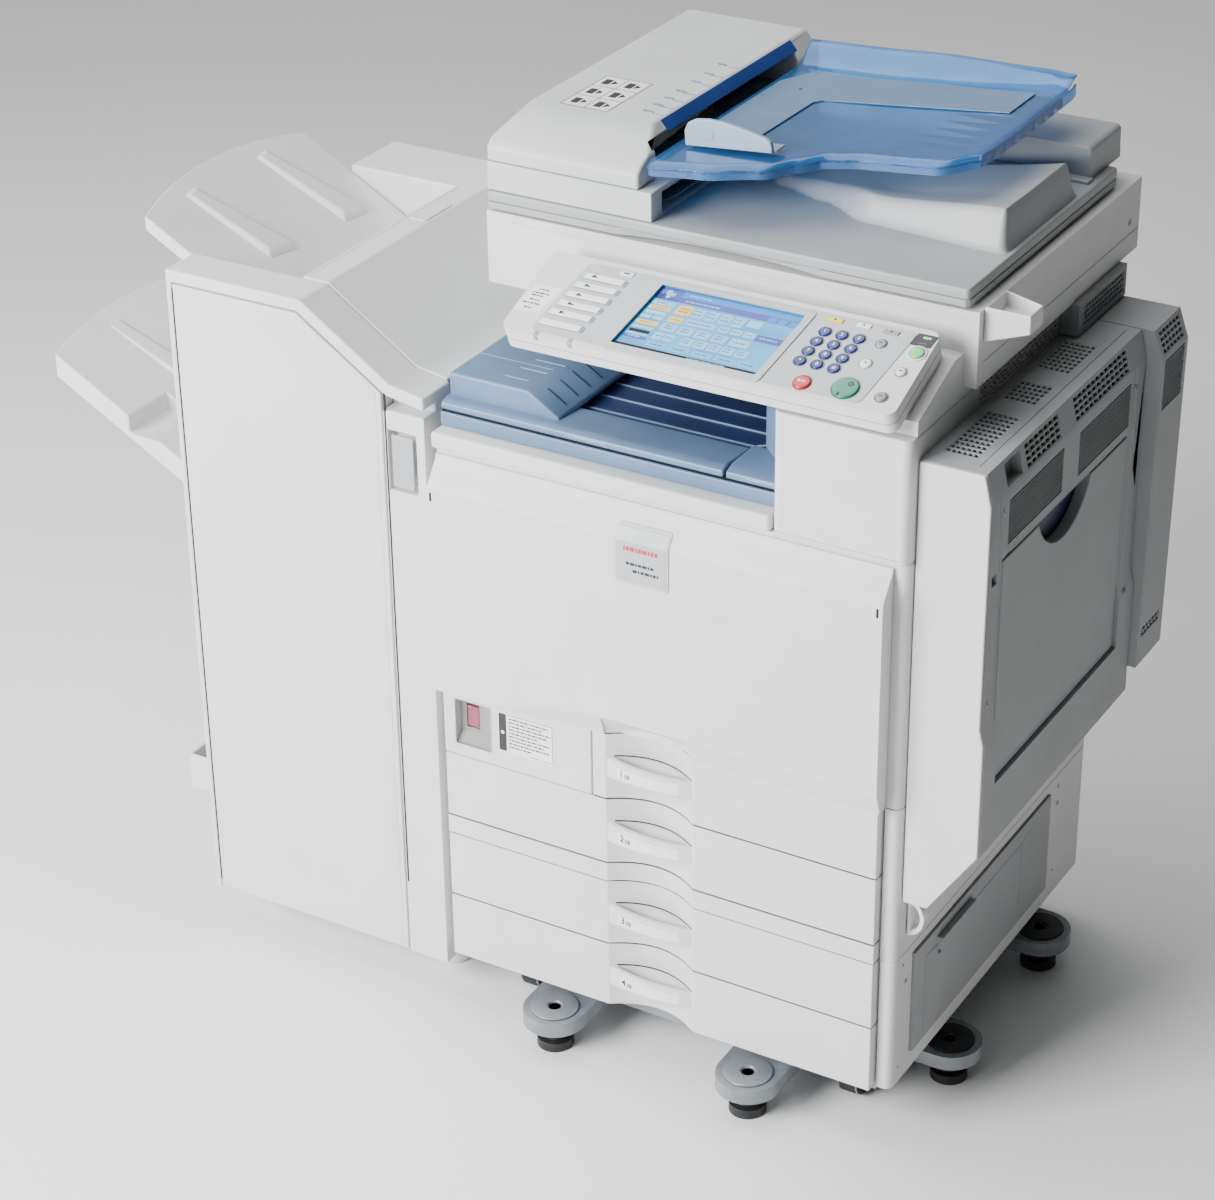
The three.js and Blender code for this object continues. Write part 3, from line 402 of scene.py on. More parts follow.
def sawn(mesh, cutters):
    """The mesh with the cutters' solids taken out of it."""
    blank = bpy.data.objects.new("blank", mesh)
    tool = bpy.data.objects.new("tool", mesh_of("tool", cutters))
    for obj in (blank, tool):
        bpy.context.scene.collection.objects.link(obj)
    saw = blank.modifiers.new("recesses", "BOOLEAN")
    saw.object = tool
    saw.solver = "MANIFOLD"
    result = bpy.data.meshes.new_from_object(blank.evaluated_get(bpy.context.evaluated_depsgraph_get()))
    for obj in (blank, tool):
        bpy.data.objects.remove(obj)
    return result


def pierce(obj, cutters):
    """Cuts holes in a piece that is already in place."""
    material = obj.data.materials[0]
    obj.data = sawn(obj.data, cutters)
    obj.data.materials.clear()
    obj.data.materials.append(material)
    obj.data.shade_smooth()


def carved(name, node, material, cutters=None, edge=1.2, segments=3, angle=32):
    """The CAD node's solid with recesses cut into it and its edges rounded. It stands for the node."""
    obj = clean_copy(name, node)
    if cutters:
        obj.data = sawn(obj.data, cutters)
        obj.data.materials.clear()
    obj.data.materials.append(material)
    soften(obj, edge, segments, angle)
    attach(obj, nodes[node]["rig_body"])
    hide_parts(node)
    return obj


def finish_node(node, material, edge=1.0, segments=3, merged=True):
    """Keeps the CAD node with its finish and rounded edges. merged makes each flat face one piece."""
    obj = nodes[node]
    obj.data.materials.clear()
    obj.data.materials.append(material)
    weld = obj.modifiers.new("closed", "WELD")
    weld.merge_threshold = 2e-6
    if merged:
        flat = obj.modifiers.new("flat_faces", "DECIMATE")
        flat.decimate_type = "DISSOLVE"
        flat.angle_limit = math.radians(1)
    return soften(obj, edge, segments)


# ---- Shared small pieces --------------------------------------------------------------------------


def eased(value, start, end):
    t = min(1, max(0, (value - start) / (end - start)))
    return t * t * (3 - 2 * t)


def steps(a, b, count):
    return [a + (b - a) * i / count for i in range(count + 1)]


def field(us, vs, front, back):
    """A closed skin between two curved faces, each a point for every u of us and v of vs."""
    points = [side(u, v) for side in (front, back) for u in us for v in vs]
    row, low = len(vs), len(us) * len(vs)
    faces = []
    for i in range(len(us) - 1):
        for j in range(row - 1):
            a = i * row + j
            faces.append((a, a + row, a + row + 1, a + 1))
            faces.append((low + a, low + a + 1, low + a + row + 1, low + a + row))
    last = (len(us) - 1) * row
    rim = list(range(row)) + [i * row + row - 1 for i in range(1, len(us))]
    rim += [last + j for j in range(row - 2, -1, -1)] + [i * row for i in range(len(us) - 2, 0, -1)]
    faces += [(a, b, low + b, low + a) for a, b in zip(rim, rim[1:] + rim[:1])]
    return points, faces


def band(path, outer, inner, z0, z1):
    """An upright strip along a plan path, from outer to inner millimetres to the path's right."""
    rings = []
    for i, (x, y) in enumerate(path):
        before = path[max(0, i - 1)]
        after = path[min(len(path) - 1, i + 1)]
        length = math.dist(before, after)
        nx, ny = (after[1] - before[1]) / length, (before[0] - after[0]) / length
        a, b = (x + nx * outer, y + ny * outer), (x + nx * inner, y + ny * inner)
        rings.append([(*a, z0), (*a, z1), (*b, z1), (*b, z0)])
    return loft(rings)


def screw_head(name, axis, centre, face, out, body, radius=3.2):
    """A cross-head screw in a shallow ring. out is +1 or -1, the way it looks along axis."""
    rim = turned(
        axis, centre,
        [
            (radius + 1, face), (radius + 1, face + 0.5 * out), (radius, face + 0.5 * out),
            (radius, face + 0.1 * out)
        ],
        20
    )
    head = turned(
        axis, centre,
        [(radius - 0.3, face), (radius - 0.3, face + 0.7 * out), (radius - 1.2, face + 1.1 * out)], 20
    )
    u, v = centre
    # The cross is dark slabs on the head: painted shade for the cross recess, which is not cut.
    slots = []
    for du, dv in ((radius * 0.6, 0.35), (0.35, radius * 0.6)):
        outline = rect(u - du, v - dv, u + du, v + dv)
        slots.append(prism(axis, outline, face + 1.0 * out, face + 1.2 * out))
    piece(name + "_ring", rim, body, cover_grey, 0)
    piece(name + "_head", head, body, steel, 0.1)
    piece(name + "_cross", together(*slots), body, dark_and_painted_shade, 0)


def wells(axis, boxes, depth_from, depth_to):
    """Upright-sided pockets to cut: boxes are (u0, v0, u1, v1) on the plane across axis."""
    cuts = []
    for u0, v0, u1, v1 in boxes:
        cuts.append(prism(axis, rect(u0, v0, u1, v1), depth_from, depth_to))
    return together(*cuts)


def grid(u0, u1, v0, v1, columns, rows, bar_u, bar_v, stagger=0.0):
    """Openings of a grille as (u0, v0, u1, v1), with every other row shifted by stagger of a pitch."""
    pitch_u, pitch_v = (u1 - u0) / columns, (v1 - v0) / rows
    openings = []
    for r in range(rows):
        shift = stagger * pitch_u * (r % 2)
        for c in range(columns - (1 if shift else 0)):
            u, v = u0 + pitch_u * c + shift, v0 + pitch_v * r
            openings.append(
                (u + bar_u / 2, v + bar_v / 2, u + pitch_u - bar_u / 2, v + pitch_v - bar_v / 2)
            )
    return openings


def print_rows(lines, place, height=1.1, depth=0.15):
    """Generic print: each line is (u, v, length), broken into word-like dashes. place(u, v, w) sets them."""
    marks = []
    for u, v, length in lines:
        run, word = 0.0, 0
        while run < length - 1.5:
            dash = min(length - run, 2.2 + 1.7 * ((word * 7 + int(v)) % 3))
            outline = rect(u + run, v, u + run + dash, v + height)
            marks.append(prism("z", outline, 0.0, depth))
            run += dash + 1.1
            word += 1
    return moved(together(*marks), place)


def numeral(name, text, size, spot_mm, turn, body, material):
    curve = bpy.data.curves.new(name, "FONT")
    curve.body = text
    curve.size = size * MM
    curve.extrude = 0.1 * MM
    curve.offset = 0.012 * size * MM
    curve.align_x = "CENTER"
    obj = bpy.data.objects.new(name, curve)
    obj.matrix_world = Matrix.Translation(at(*spot_mm)) @ turn.to_4x4()
    bpy.context.scene.collection.objects.link(obj)
    curve.materials.append(material)
    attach(obj, body)


def facing_front(lean=0.0):
    """Turns lettering in its own plane to face the front, swung by lean about the upright."""
    return Matrix.Rotation(lean, 3, "Z") @ Matrix.Rotation(math.pi / 2, 3, "X")


# ---- Drawers --------------------------------------------------------------------------------------

COLUMN_LEFT, COLUMN_RIGHT, COLUMN_DEPTH = -67, 44, 20
COLUMN_MIDDLE = (COLUMN_LEFT + COLUMN_RIGHT) / 2
HALF_COLUMN = (COLUMN_RIGHT - COLUMN_LEFT) / 2
HANDLE_BULGE = 9


def channel_depth(x, depth=COLUMN_DEPTH):
    """How far the handle column is hollowed at x."""
    return depth * max(0.0, 1 - ((x - COLUMN_MIDDLE) / HALF_COLUMN) ** 2)


def bar_face(x):
    """Front of a drawer's handle at x."""
    return 1 - channel_depth(x, HANDLE_BULGE)


def drawer_front(number):
    (x0, _, z0), (x1, y1, z1) = edges(f"tray_front_{number}")
    body = f"tray_{number}"
    hollow = [(x, channel_depth(x)) for x in steps(COLUMN_LEFT, COLUMN_RIGHT, 20)]
    front = [(x0, 0), *hollow, (x1, 0), (x1, y1), (x0, y1)]
    panel = piece(f"drawer_panel_{number}", prism("z", front, z0, z1), body, cover_white, 1.3, 3)
    bar_low = z0 + 28
    bar_high = bar_low + 26

    def handle_ring(x):
        # The grip thins out to the left and has full, rounded lips
        y, lift = bar_face(x), 2.5 * eased(x, COLUMN_LEFT, -20)
        low, high = bar_low + lift, bar_high - 1.5 * eased(x, -30, COLUMN_RIGHT)
        round_edge = [(0, 3.5), (1.0, 1.0), (3.0, 0)]
        ring = [(y + dy, low + dz) for dy, dz in round_edge] + [(y + 7, low)]
        ring += [(y + 7, high)] + [(y + dy, high - dz) for dy, dz in reversed(round_edge)]
        return [(x, v, w) for v, w in ring]

    grip = loft([handle_ring(x) for x in steps(COLUMN_LEFT + 1, COLUMN_RIGHT - 0.8, 22)])
    piece(f"drawer_grip_{number}", grip, body, cover_white, 0.8)

    def cup(t, s):
        x = COLUMN_LEFT + 7 + (COLUMN_RIGHT - COLUMN_LEFT - 8) * t
        back, inner = channel_depth(x) + 0.4, bar_face(x) + 6.5
        return x, back + (min(inner, back) - back) * s, bar_high + 1.5 - 21 * math.sin(s * math.pi / 2)

    def cup_back(t, s):
        x, y, z = cup(t, s)
        return x, y + 1.0, z - 1.6

    # The cup is in the greyer ABS as painted shade for the recess.
    cup_skin = field(steps(0, 1, 16), steps(0, 1, 8), cup, cup_back)
    piece(f"drawer_cup_{number}", cup_skin, body, cover_pale, 0)
    seam_path = [(x, channel_depth(x)) for x in steps(COLUMN_LEFT + 8, COLUMN_RIGHT - 1, 18)]
    piece(
        f"drawer_cup_seam_{number}", band(seam_path, 0.5, -0.5, bar_high + 1.2, bar_high + 2.6), body,
        dark_and_painted_shade, 0
    )

    window = [(x, bar_face(x)) for x in steps(COLUMN_LEFT + 16, COLUMN_RIGHT - 16, 14)]
    piece(
        f"drawer_window_{number}", band(window, 0.25, -0.3, bar_low + 7, bar_high - 6), body,
        label_white, 0.1
    )
    # The number and a paper-stack sign at the window's left end
    x = COLUMN_LEFT + 23
    lean = math.atan(18 * (x - COLUMN_MIDDLE) / HALF_COLUMN**2)
    spot_mm = (x, bar_face(x) - 0.35, bar_low + 10)
    numeral(f"drawer_number_{number}", str(number), 12, spot_mm, facing_front(lean), body, ink_black)

    def on_bar(u, v, w):
        px = x + 5 + u
        return px, bar_face(px) - 0.25 - w, bar_low + 10 + v

    tray_sign = [(0, 0, 1, 5.6), (5.4, 0, 6.4, 5.6), (0, 0, 6.4, 1)]
    tray_sign += [(2 + 1.2 * i, 1.8, 2.7 + 1.2 * i, 5.6) for i in range(3)]
    sign = together(*[prism("z", rect(a, b, c, d), 0, 0.15) for a, b, c, d in tray_sign])
    piece(f"drawer_sign_{number}", moved(sign, on_bar), body, ink_black, 0)
    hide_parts(f"tray_front_{number}")


def drawers():
    for number in (1, 2, 3, 4):
        drawer_front(number)
        finish_node(f"tray_box_{number}", cover_grey, 1.2)
        # The pressed bottom plate that lifts the paper
        (x0, y0, z0), (x1, y1, z1) = edges(f"tray_box_{number}")
        lift = block(x0 + 12, x1 - 12, y0 + 14, y1 - 60, z0 + 6, z0 + 7.5)
        stop = block(x0 + 90, x1 - 90, y1 - 40, y1 - 34, z0 + 5, z1 - 10)
        piece(f"lift_plate_{number}", lift, f"tray_{number}", steel, 0.4)
        piece(f"end_guide_{number}", stop, f"tray_{number}", guide_blue, 1.0)
        for side, x in (("left", x0 + 60), ("right", x1 - 64)):
            rib = block(x, x + 4, y0 + 120, y0 + 240, z0 + 5, z1 - 8)
            piece(f"side_guide_{side}_{number}", rib, f"tray_{number}", guide_blue, 1.0)


GAP_LEFT, GAP_RIGHT = -281, 268  # the joints run between the cabinet's side walls
STRIP_WIDTH = 198  # the switch strip that stands beside the upper drawer


def drawer_gaps():
    """The dark joints between the fronts: a thin seal set back behind each gap."""
    for i, z in enumerate((163.0, 249.5, 274.5, 360.5, 446.5)):
        xs = steps(GAP_LEFT if z < 350 else GAP_LEFT + STRIP_WIDTH, GAP_RIGHT, 44)
        front = [(x, channel_depth(x) + 1.6) for x in xs]
        back = [(x, channel_depth(x) + 6) for x in reversed(xs)]
        piece(f"drawer_gap_{i}", prism("z", front + back, z - 0.9, z + 0.9), "main_unit", dark_and_painted_shade, 0)


# ---- Front door, switch panel and the covers round them ------------------------------------------


def front_door():
    (x0, y0, z0), (x1, y1, z1) = edges("front_door")
    bevel_start, flare = z0 + 257, 27.5

    def skin(x, z):
        y = y0 + 0.72 * 1.6 * math.log1p(math.exp(min(30, (z - bevel_start) / 1.6)))
        # The lower edge eases back beside the handle column and fades out to the left
        crest = z0 + flare * eased(x, x0 + 40, COLUMN_LEFT)
        y += 0.34 * max(0, crest - z)
        if COLUMN_LEFT < x < COLUMN_RIGHT and z < z0 + flare:
            y = max(y, y + (channel_depth(x) - y) * (z0 + flare - z) / flare)
        return x, min(y, y1 - 3), z

    xs = steps(x0, COLUMN_LEFT - 1, 24) + [COLUMN_LEFT] + steps(COLUMN_LEFT + 0.8, COLUMN_RIGHT - 0.8, 24)
    xs += [COLUMN_RIGHT] + steps(COLUMN_RIGHT + 1, x1, 20)
    zs = steps(z0, z0 + flare, 8) + steps(z0 + flare + 3, bevel_start - 8, 12)
    zs += steps(bevel_start - 5, bevel_start + 6, 11) + steps(bevel_start + 9, z1, 4)
    door = field(xs, zs, skin, lambda x, z: (x, y1, z))
    panel = piece("door_panel", door, "front_door", cover_white, 1.8, 3)
    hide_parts("front_door")

    # The badge plate with its generic print, bent over the door's upper edge
    rise = 72  # the plate's length along the door's face

    def plate(lift):
        def point(u, s):
            corner = 4.5
            near = min(s, rise - s)
            pull = corner - math.sqrt(max(0, corner**2 - (corner - near) ** 2)) if near < corner else 0
            half = 33 - pull
            slope = max(0, s - 52)
            return -11.5 + half * u, y0 - lift + slope * 0.58, bevel_start - 52 + min(s, 52) + slope * 0.81

        return point

    ss = [0, 0.5, 1.2, 2.2, 3.4, 4.6] + steps(10, 51, 5) + [52, 53] + steps(58, 67, 2)
    ss += [68.6, 69.8, 70.8, 71.5, 72]
    rim = field([-1, -0.5, 0, 0.5, 1], ss, plate(1.4), plate(-0.6))
    piece("badge_plate", rim, "front_door", cover_pale, 0.5)
    face = field(
        [-0.93, 0, 0.93], [3.5, 5.5] + steps(12, 51, 4) + [52, 53, 60, 66.5, 68.5], plate(1.75),
        plate(1.0)
    )
    piece("badge_face", face, "front_door", panel_silver, 0.25)
    on_badge = on_front(y0 - 1.7)
    low = bevel_start - 52
    wide = [(-33, low + 41, 42)]
    rows = [(-30, low + 24, 34), (-22, low + 16, 32)]
    for name, lines, height, ink in (("upper", wide, 5, key_red), ("lower", rows, 3.4, ink_black)):
        piece(
            "badge_print_" + name, print_rows(lines, on_badge, height), "front_door", ink, 0,
        )

    # Slots for the door's catches, in its upper corners: dark slabs on the face, painted shade for the slot
    # openings
    for side, x in (("left", x0 + 5), ("right", x1 - 6)):
        slot_shape = prism(
            "y", rounded(x - 1.4, bevel_start - 15, x + 1.4, bevel_start - 4, 1.3), y0 - 0.15, y0 + 2
        )
        piece(f"door_catch_{side}", slot_shape, "front_door", dark_and_painted_shade, 0)
    # Ribs that stiffen the door's back
    ribs = [block(x, x + 3, y1 - 1, y1 + 0.2, z0 + 12, z1 - 14) for x in steps(x0 + 40, x1 - 40, 6)]
    piece("door_ribs", together(*ribs), "front_door", cover_pale, 0)


def switch_panel():
    (x0, y0, z0), (x1, y1, z1) = edges("switch_panel")
    carved("switch_cover", "switch_panel", cover_white, None, 1.3)
    left, low = x0 + 15, z0 + 14.5
    right_side, high = left + 49, low + 60
    # The well's floor and sloping lower face, in a warmer grey
    outline = rect(left + 0.4, low + 0.4, right_side - 0.4, high - 0.4)
    well = prism("y", outline, y0 + 12, y0 + 15.8)
    hole = wells("y", [(left + 8, low + 17.5, left + 26, low + 50.5)], y0 + 10, y0 + 17)
    cavity = piece("switch_well", well, "main_unit", switch_grey, 0)
    pierce(cavity, hole)
    slope = prism(
        "x", [(y0 + 3, low + 0.4), (y0 + 12, low + 0.4), (y0 + 12, low + 15)], left + 0.4,
        right_side - 0.4
    )
    piece("switch_well_sill", slope, "main_unit", switch_grey, 0.5)
    pane = prism("y", rounded(left + 0.6, low + 0.6, right_side - 0.6, high - 0.6, 3), y0 + 0.5, y0 + 1.5)
    piece("switch_window", pane, "main_unit", clear_window, 0.2)
    frame_outer = rounded(left - 1, low - 1, right_side + 1, high + 1, 3.5)
    frame_inner = rounded(left + 0.5, low + 0.5, right_side - 0.5, high - 0.5, 2.6)
    count = len(frame_outer)
    ring_points = [(u, y, v) for y in (y0 - 0.35, y0 + 0.3) for u, v in frame_outer + frame_inner]
    faces = []
    for i in range(count):
        j = (i + 1) % count
        faces.append((i, j, count + j, count + i))
        faces.append((2 * count + i, 3 * count + i, 3 * count + j, 2 * count + j))
        faces.append((i, 2 * count + i, 2 * count + j, j))
        faces.append((count + i, count + j, 3 * count + j, 3 * count + i))
    piece("switch_frame", (ring_points, faces), "main_unit", cover_pale, 0)
    finish_node("power_switch", rocker_pink, 1.6)

    def on_label(u, v, w):
        return -208 + u, y0 - 0.15 - w, 385 + v

    piece(
        "label_sheet", moved(prism("z", rounded(-1, -1.5, 74, 50.5, 3), 0, 0.12), on_label),
        "main_unit", label_white, 0
    )
    tab = prism("z", rounded(0.5, 0, 10.5, 49, 1.2), 0.1, 0.24)
    piece("label_tab", moved(tab, on_label), "main_unit", ink_black, 0)
    sign = prism("z", rounded(3.2, 22, 7.8, 26.6, 2.2), 0.2, 0.32)
    piece("label_sign", moved(sign, on_label), "main_unit", label_white, 0)
    lines = [(14, 43 - 4.6 * i, (52, 44, 55, 50, 38, 54, 47, 53, 30)[i]) for i in range(9)]
    piece("label_print", print_rows(lines, on_label, 1.9), "main_unit", ink_black, 0)
    edge_lines = [(12, 48.6, 72, 49.3), (71.3, 2, 72, 49.3), (40, 0.6, 72, 1.3)]
    frame_marks = together(
        *[prism("z", rect(a, b, c, d), 0.1, 0.24) for a, b, c, d in edge_lines]
    )
    piece("label_frame", moved(frame_marks, on_label), "main_unit", ink_black, 0)


# ---- Output space ---------------------------------------------------------------------------------


def output_space():
    carved("ledge_cover", "output_ledge", cover_white, None, 4, 4)
    (lx0, ly0, lz0), (lx1, ly1, lz1) = edges("output_ledge")
    (x0, y0, z0), (x1, y1, z1) = edges("inner_tray")
    # Two stacked trays with a dark joint, and a shorter flap at their right end
    lower = block(x0, x1 + 12, y0 - 3, y1, z0 + 0.4, z0 + 17)
    piece("inner_tray_lower", lower, "main_unit", tray_blue, 2.2, 3)
    joint = block(x0 + 2, x1 + 10, y0 - 0.5, y1 - 6, z0 + 16.6, z0 + 19.4)
    piece("inner_tray_joint", joint, "main_unit", dark_and_painted_shade, 0)
    flap_left = x1 - 52
    profile = [
        (y0 - 1, z0 + 19), (y0 - 1, z1 + 1), (y0 + 10, z1 + 5), (y0 + 62, z1 + 1), (y0 + 62, z0 + 19)
    ]
    upper = prism("x", profile, x0, flap_left - 3)
    tray = piece("inner_tray_upper", upper, "main_unit", tray_blue, 2.4, 3)
    flap = prism(
        "x",
        [(y0 - 1, z0 + 19), (y0 - 1, z1 + 1), (y0 + 14, z1 + 6), (y0 + 62, z1 + 6), (y0 + 62, z0 + 19)],
        flap_left, x1 + 12
    )
    piece("inner_tray_flap", flap, "main_unit", tray_blue, 2.4, 3)
    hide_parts("inner_tray")
    # Finger tabs drawn on the front lips
    for name, a, b in (("wide", -130, -78), ("flap", x1 - 28, x1 + 6)):
        tab = block(a, b, y0 - 1.5, y0 - 0.6, z1 - 2.2, z1 - 1.0)
        hook = block(b - 1.2, b, y0 - 1.5, y0 - 0.6, z1 - 5.2, z1 - 1.0)
        piece(f"inner_tray_tab_{name}", together(tab, hook), "main_unit", guide_blue, 0.2)
    # The navy paper rack behind, with raised runners that fold up to the right
    deck_z = z1 - 5
    deck = block(x0 + 2, x1 + 10, y0 + 60, y1 - 2, z0 + 17, deck_z)
    piece("rack_deck", deck, "main_unit", rack_navy, 1)
    for i in range(9):
        y = y0 + 76 + 34 * i
        path = [(-150, deck_z), (60, deck_z), (x1 + 6, deck_z + 20)]
        strip = [(a, b + 1.6) for a, b in path] + [(a, b - 0.5) for a, b in reversed(path)]
        piece(f"rack_runner_{i}", prism("y", strip, y, y + 2.2), "main_unit", tray_blue, 0.4)
    (tx0, _, _), _ = edges("tower_cover")
    back = block(lx0 + 3, tx0 - 2, ly1 - 5, ly1 - 1, z0 + 1, 899)
    piece("rack_back", back, "main_unit", rack_navy, 0.6)
    cheek = block(tx0 - 3.5, tx0 - 0.6, 96, ly1 - 2, z1 + 7, 884)
    piece("rack_cheek", cheek, "main_unit", rack_navy, 0.6)
    # The pale blue wall that closes the space beside the tower
    wall = [(x1 + 11, 26), (tx0 - 1, 26), (tx0 - 1, 95), (x1 - 36, 95), (x1 - 36, 90), (x1 + 11, 44)]
    piece("guide_wall", prism("z", wall, z1 + 7, 885), "main_unit", tray_blue, 1.5)

    carved("exit_wedge", "exit_tray", tray_blue, None, 9, 5)
    (ex0, ey0, ez0), (ex1, ey1, ez1) = edges("exit_tray")
    kink = ex0 + 101
    fall = (ez1 - (ez0 + 6)) / (ex1 - kink)
    for i in range(4):
        y = ey0 + 22 + 26 * i
        flat = block(kink - 42 + 4 * i, kink - 12 + 8 * i, y, y + 1.6, ez1 - 0.2, ez1 + 0.5)
        piece(f"exit_mark_{i}", flat, "main_unit", guide_blue, 0)
        a, b = kink + 10, kink + 33
        run = [(a, ez1 - (a - kink) * fall + 0.9), (b, ez1 - (b - kink) * fall + 0.9)]
        strip = run + [(b, run[1][1] - 1.4), (a, run[0][1] - 1.4)]
        piece(f"exit_rib_{i}", prism("y", strip, y + 4, y + 5.8), "main_unit", rack_navy, 0)
    seam_y = ey0 + 60
    piece(
        "exit_seam", block(ex0 + 2, kink - 4, seam_y, seam_y + 1, ez1 - 0.2, ez1 + 0.25), "main_unit",
        guide_blue, 0
    )

    vent = grille("neck_vent", "main_unit", on_side(290), (172, 374, 862, 882), (20, 4), (1.8, 1.8), 0.5)
    carved("tower_skin", "tower_cover", cover_white, vent, 7, 5)
    (_, ty0, tz0), (tx1, _, _) = edges("tower_cover")
    piece(
        "tower_seam", band([(tx0 + 2, ty0), (tx1 - 10, ty0)], 0.2, -0.3, tz0 + 4, tz0 + 5), "main_unit",
        cover_grey, 0
    )
    finish_node("rear_neck", cover_white, 4)


# ---- Operation panel ------------------------------------------------------------------------------

PANEL_TILT = math.radians(22.2)
PANEL_CORNER = (-181, -14, 920.6)  # low left corner of its face


def on_panel(u, v, w):
    """From the panel's own millimetres (along, up the slope, out of the face) to the machine's."""
    x, y, z = PANEL_CORNER
    return (
        x + u,
        y + v * math.cos(PANEL_TILT) - w * math.sin(PANEL_TILT),
        z + v * math.sin(PANEL_TILT) + w * math.cos(PANEL_TILT),
    )


LEAN = 0.152  # the face's printed layout leans to the right as it goes up


def leaning(outline, v0=0.0):
    return [(u + LEAN * (v - v0), v) for u, v in outline]


def panel_piece(name, outline, w0, w1, material, edge=0.3, body="operation_panel"):
    return piece(name, moved(prism("z", outline, w0, w1), on_panel), body, material, edge)


def key_cap(name, u, v, radius, material, body="operation_panel", stand=2.6):
    """A round key: a shallow dome in a dark well ring."""
    profile = [
        (radius, -3), (radius, stand * 0.5), (radius - 0.5, stand * 0.8), (radius - 1.4, stand),
        (radius * 0.45, stand + 0.35)
    ]
    cap = moved(turned("z", (u, v), profile, 28), on_panel)
    piece(name, cap, body, material, 0)
    ring = turned(
        "z", (u, v),
        [(radius + 1.1, 0.1), (radius + 1.1, 0.95), (radius + 0.5, 0.95), (radius + 0.4, 0.1)], 28
    )
    piece(name + "_well", moved(ring, on_panel), "operation_panel", key_grey, 0)


def operation_panel():
    carved("panel_shell", "panel_housing", cover_white, None, 4.5, 4)
    width, depth = 458, 123
    # The split line round the shell's rim, between its face and its tray
    inset = 0.15
    line = moved(
        prism("z", rounded(-inset, -inset, width + inset, depth + inset, 12), -14.6, -13.8), on_panel
    )
    piece("panel_split_line", line, "operation_panel", cover_grey, 0)

    face = leaning([(32, 6), (417, 7), (417, 116), (32, 115)])
    holes = [disc(u, v, r + 0.6, 28) for u, v, r in KEYS.values()]
    holes += [disc(*number_key(i), 6.9, 24) for i in range(12)]
    screen_hole = leaning(rounded(129, 12.6, 298.5, 106.5, 2), 13)
    face_piece = panel_piece("panel_face", soft_corners(face, 9), 0.0, 0.9, panel_silver, 0.3)
    cuts = [prism("z", hole, -1, 2) for hole in holes + [screen_hole]]
    pierce(face_piece, moved(together(*cuts), on_panel))

    # The raised frame round the display
    outer = soft_corners(leaning(rect(122, 4.5, 307, 113), 13), 5)
    frame_piece = panel_piece("screen_frame", outer, 0.6, 2.2, panel_silver, 0.9)
    pierce(frame_piece, moved(prism("z", screen_hole, 0, 3), on_panel))
    screen()
    function_keys()
    number_pad()
    side_keys()


def soft_corners(outline, radius, count=5):
    """The outline with each corner replaced by a round one."""
    points = []
    for i, corner in enumerate(outline):
        a, b, c = (Vector(p) for p in (outline[i - 1], corner, outline[(i + 1) % len(outline)]))
        to_a, to_c = (a - b).normalized(), (c - b).normalized()
        half = to_a.angle(to_c) / 2
        start, end = b + to_a * radius / math.tan(half), b + to_c * radius / math.tan(half)
        for k in range(count + 1):
            t = k / count
            points.append(tuple((1 - t) ** 2 * start + 2 * t * (1 - t) * b + t * t * end))
    return points


def number_key(i):
    """Centre of the i-th of twelve number keys, three to a row from the top."""
    row, column = divmod(i, 3)
    return 341.2 - 2.3 * row + 19.3 * column, 90.1 - 15.2 * row


# name: (along, up, radius) of the other round keys
KEYS = {
    "start": (396, 22.4, 14.5),
    "stop": (350, 17, 9.5),
    "clear": (401, 60, 6.6),
    "check": (404.4, 90.3, 6.0),
}


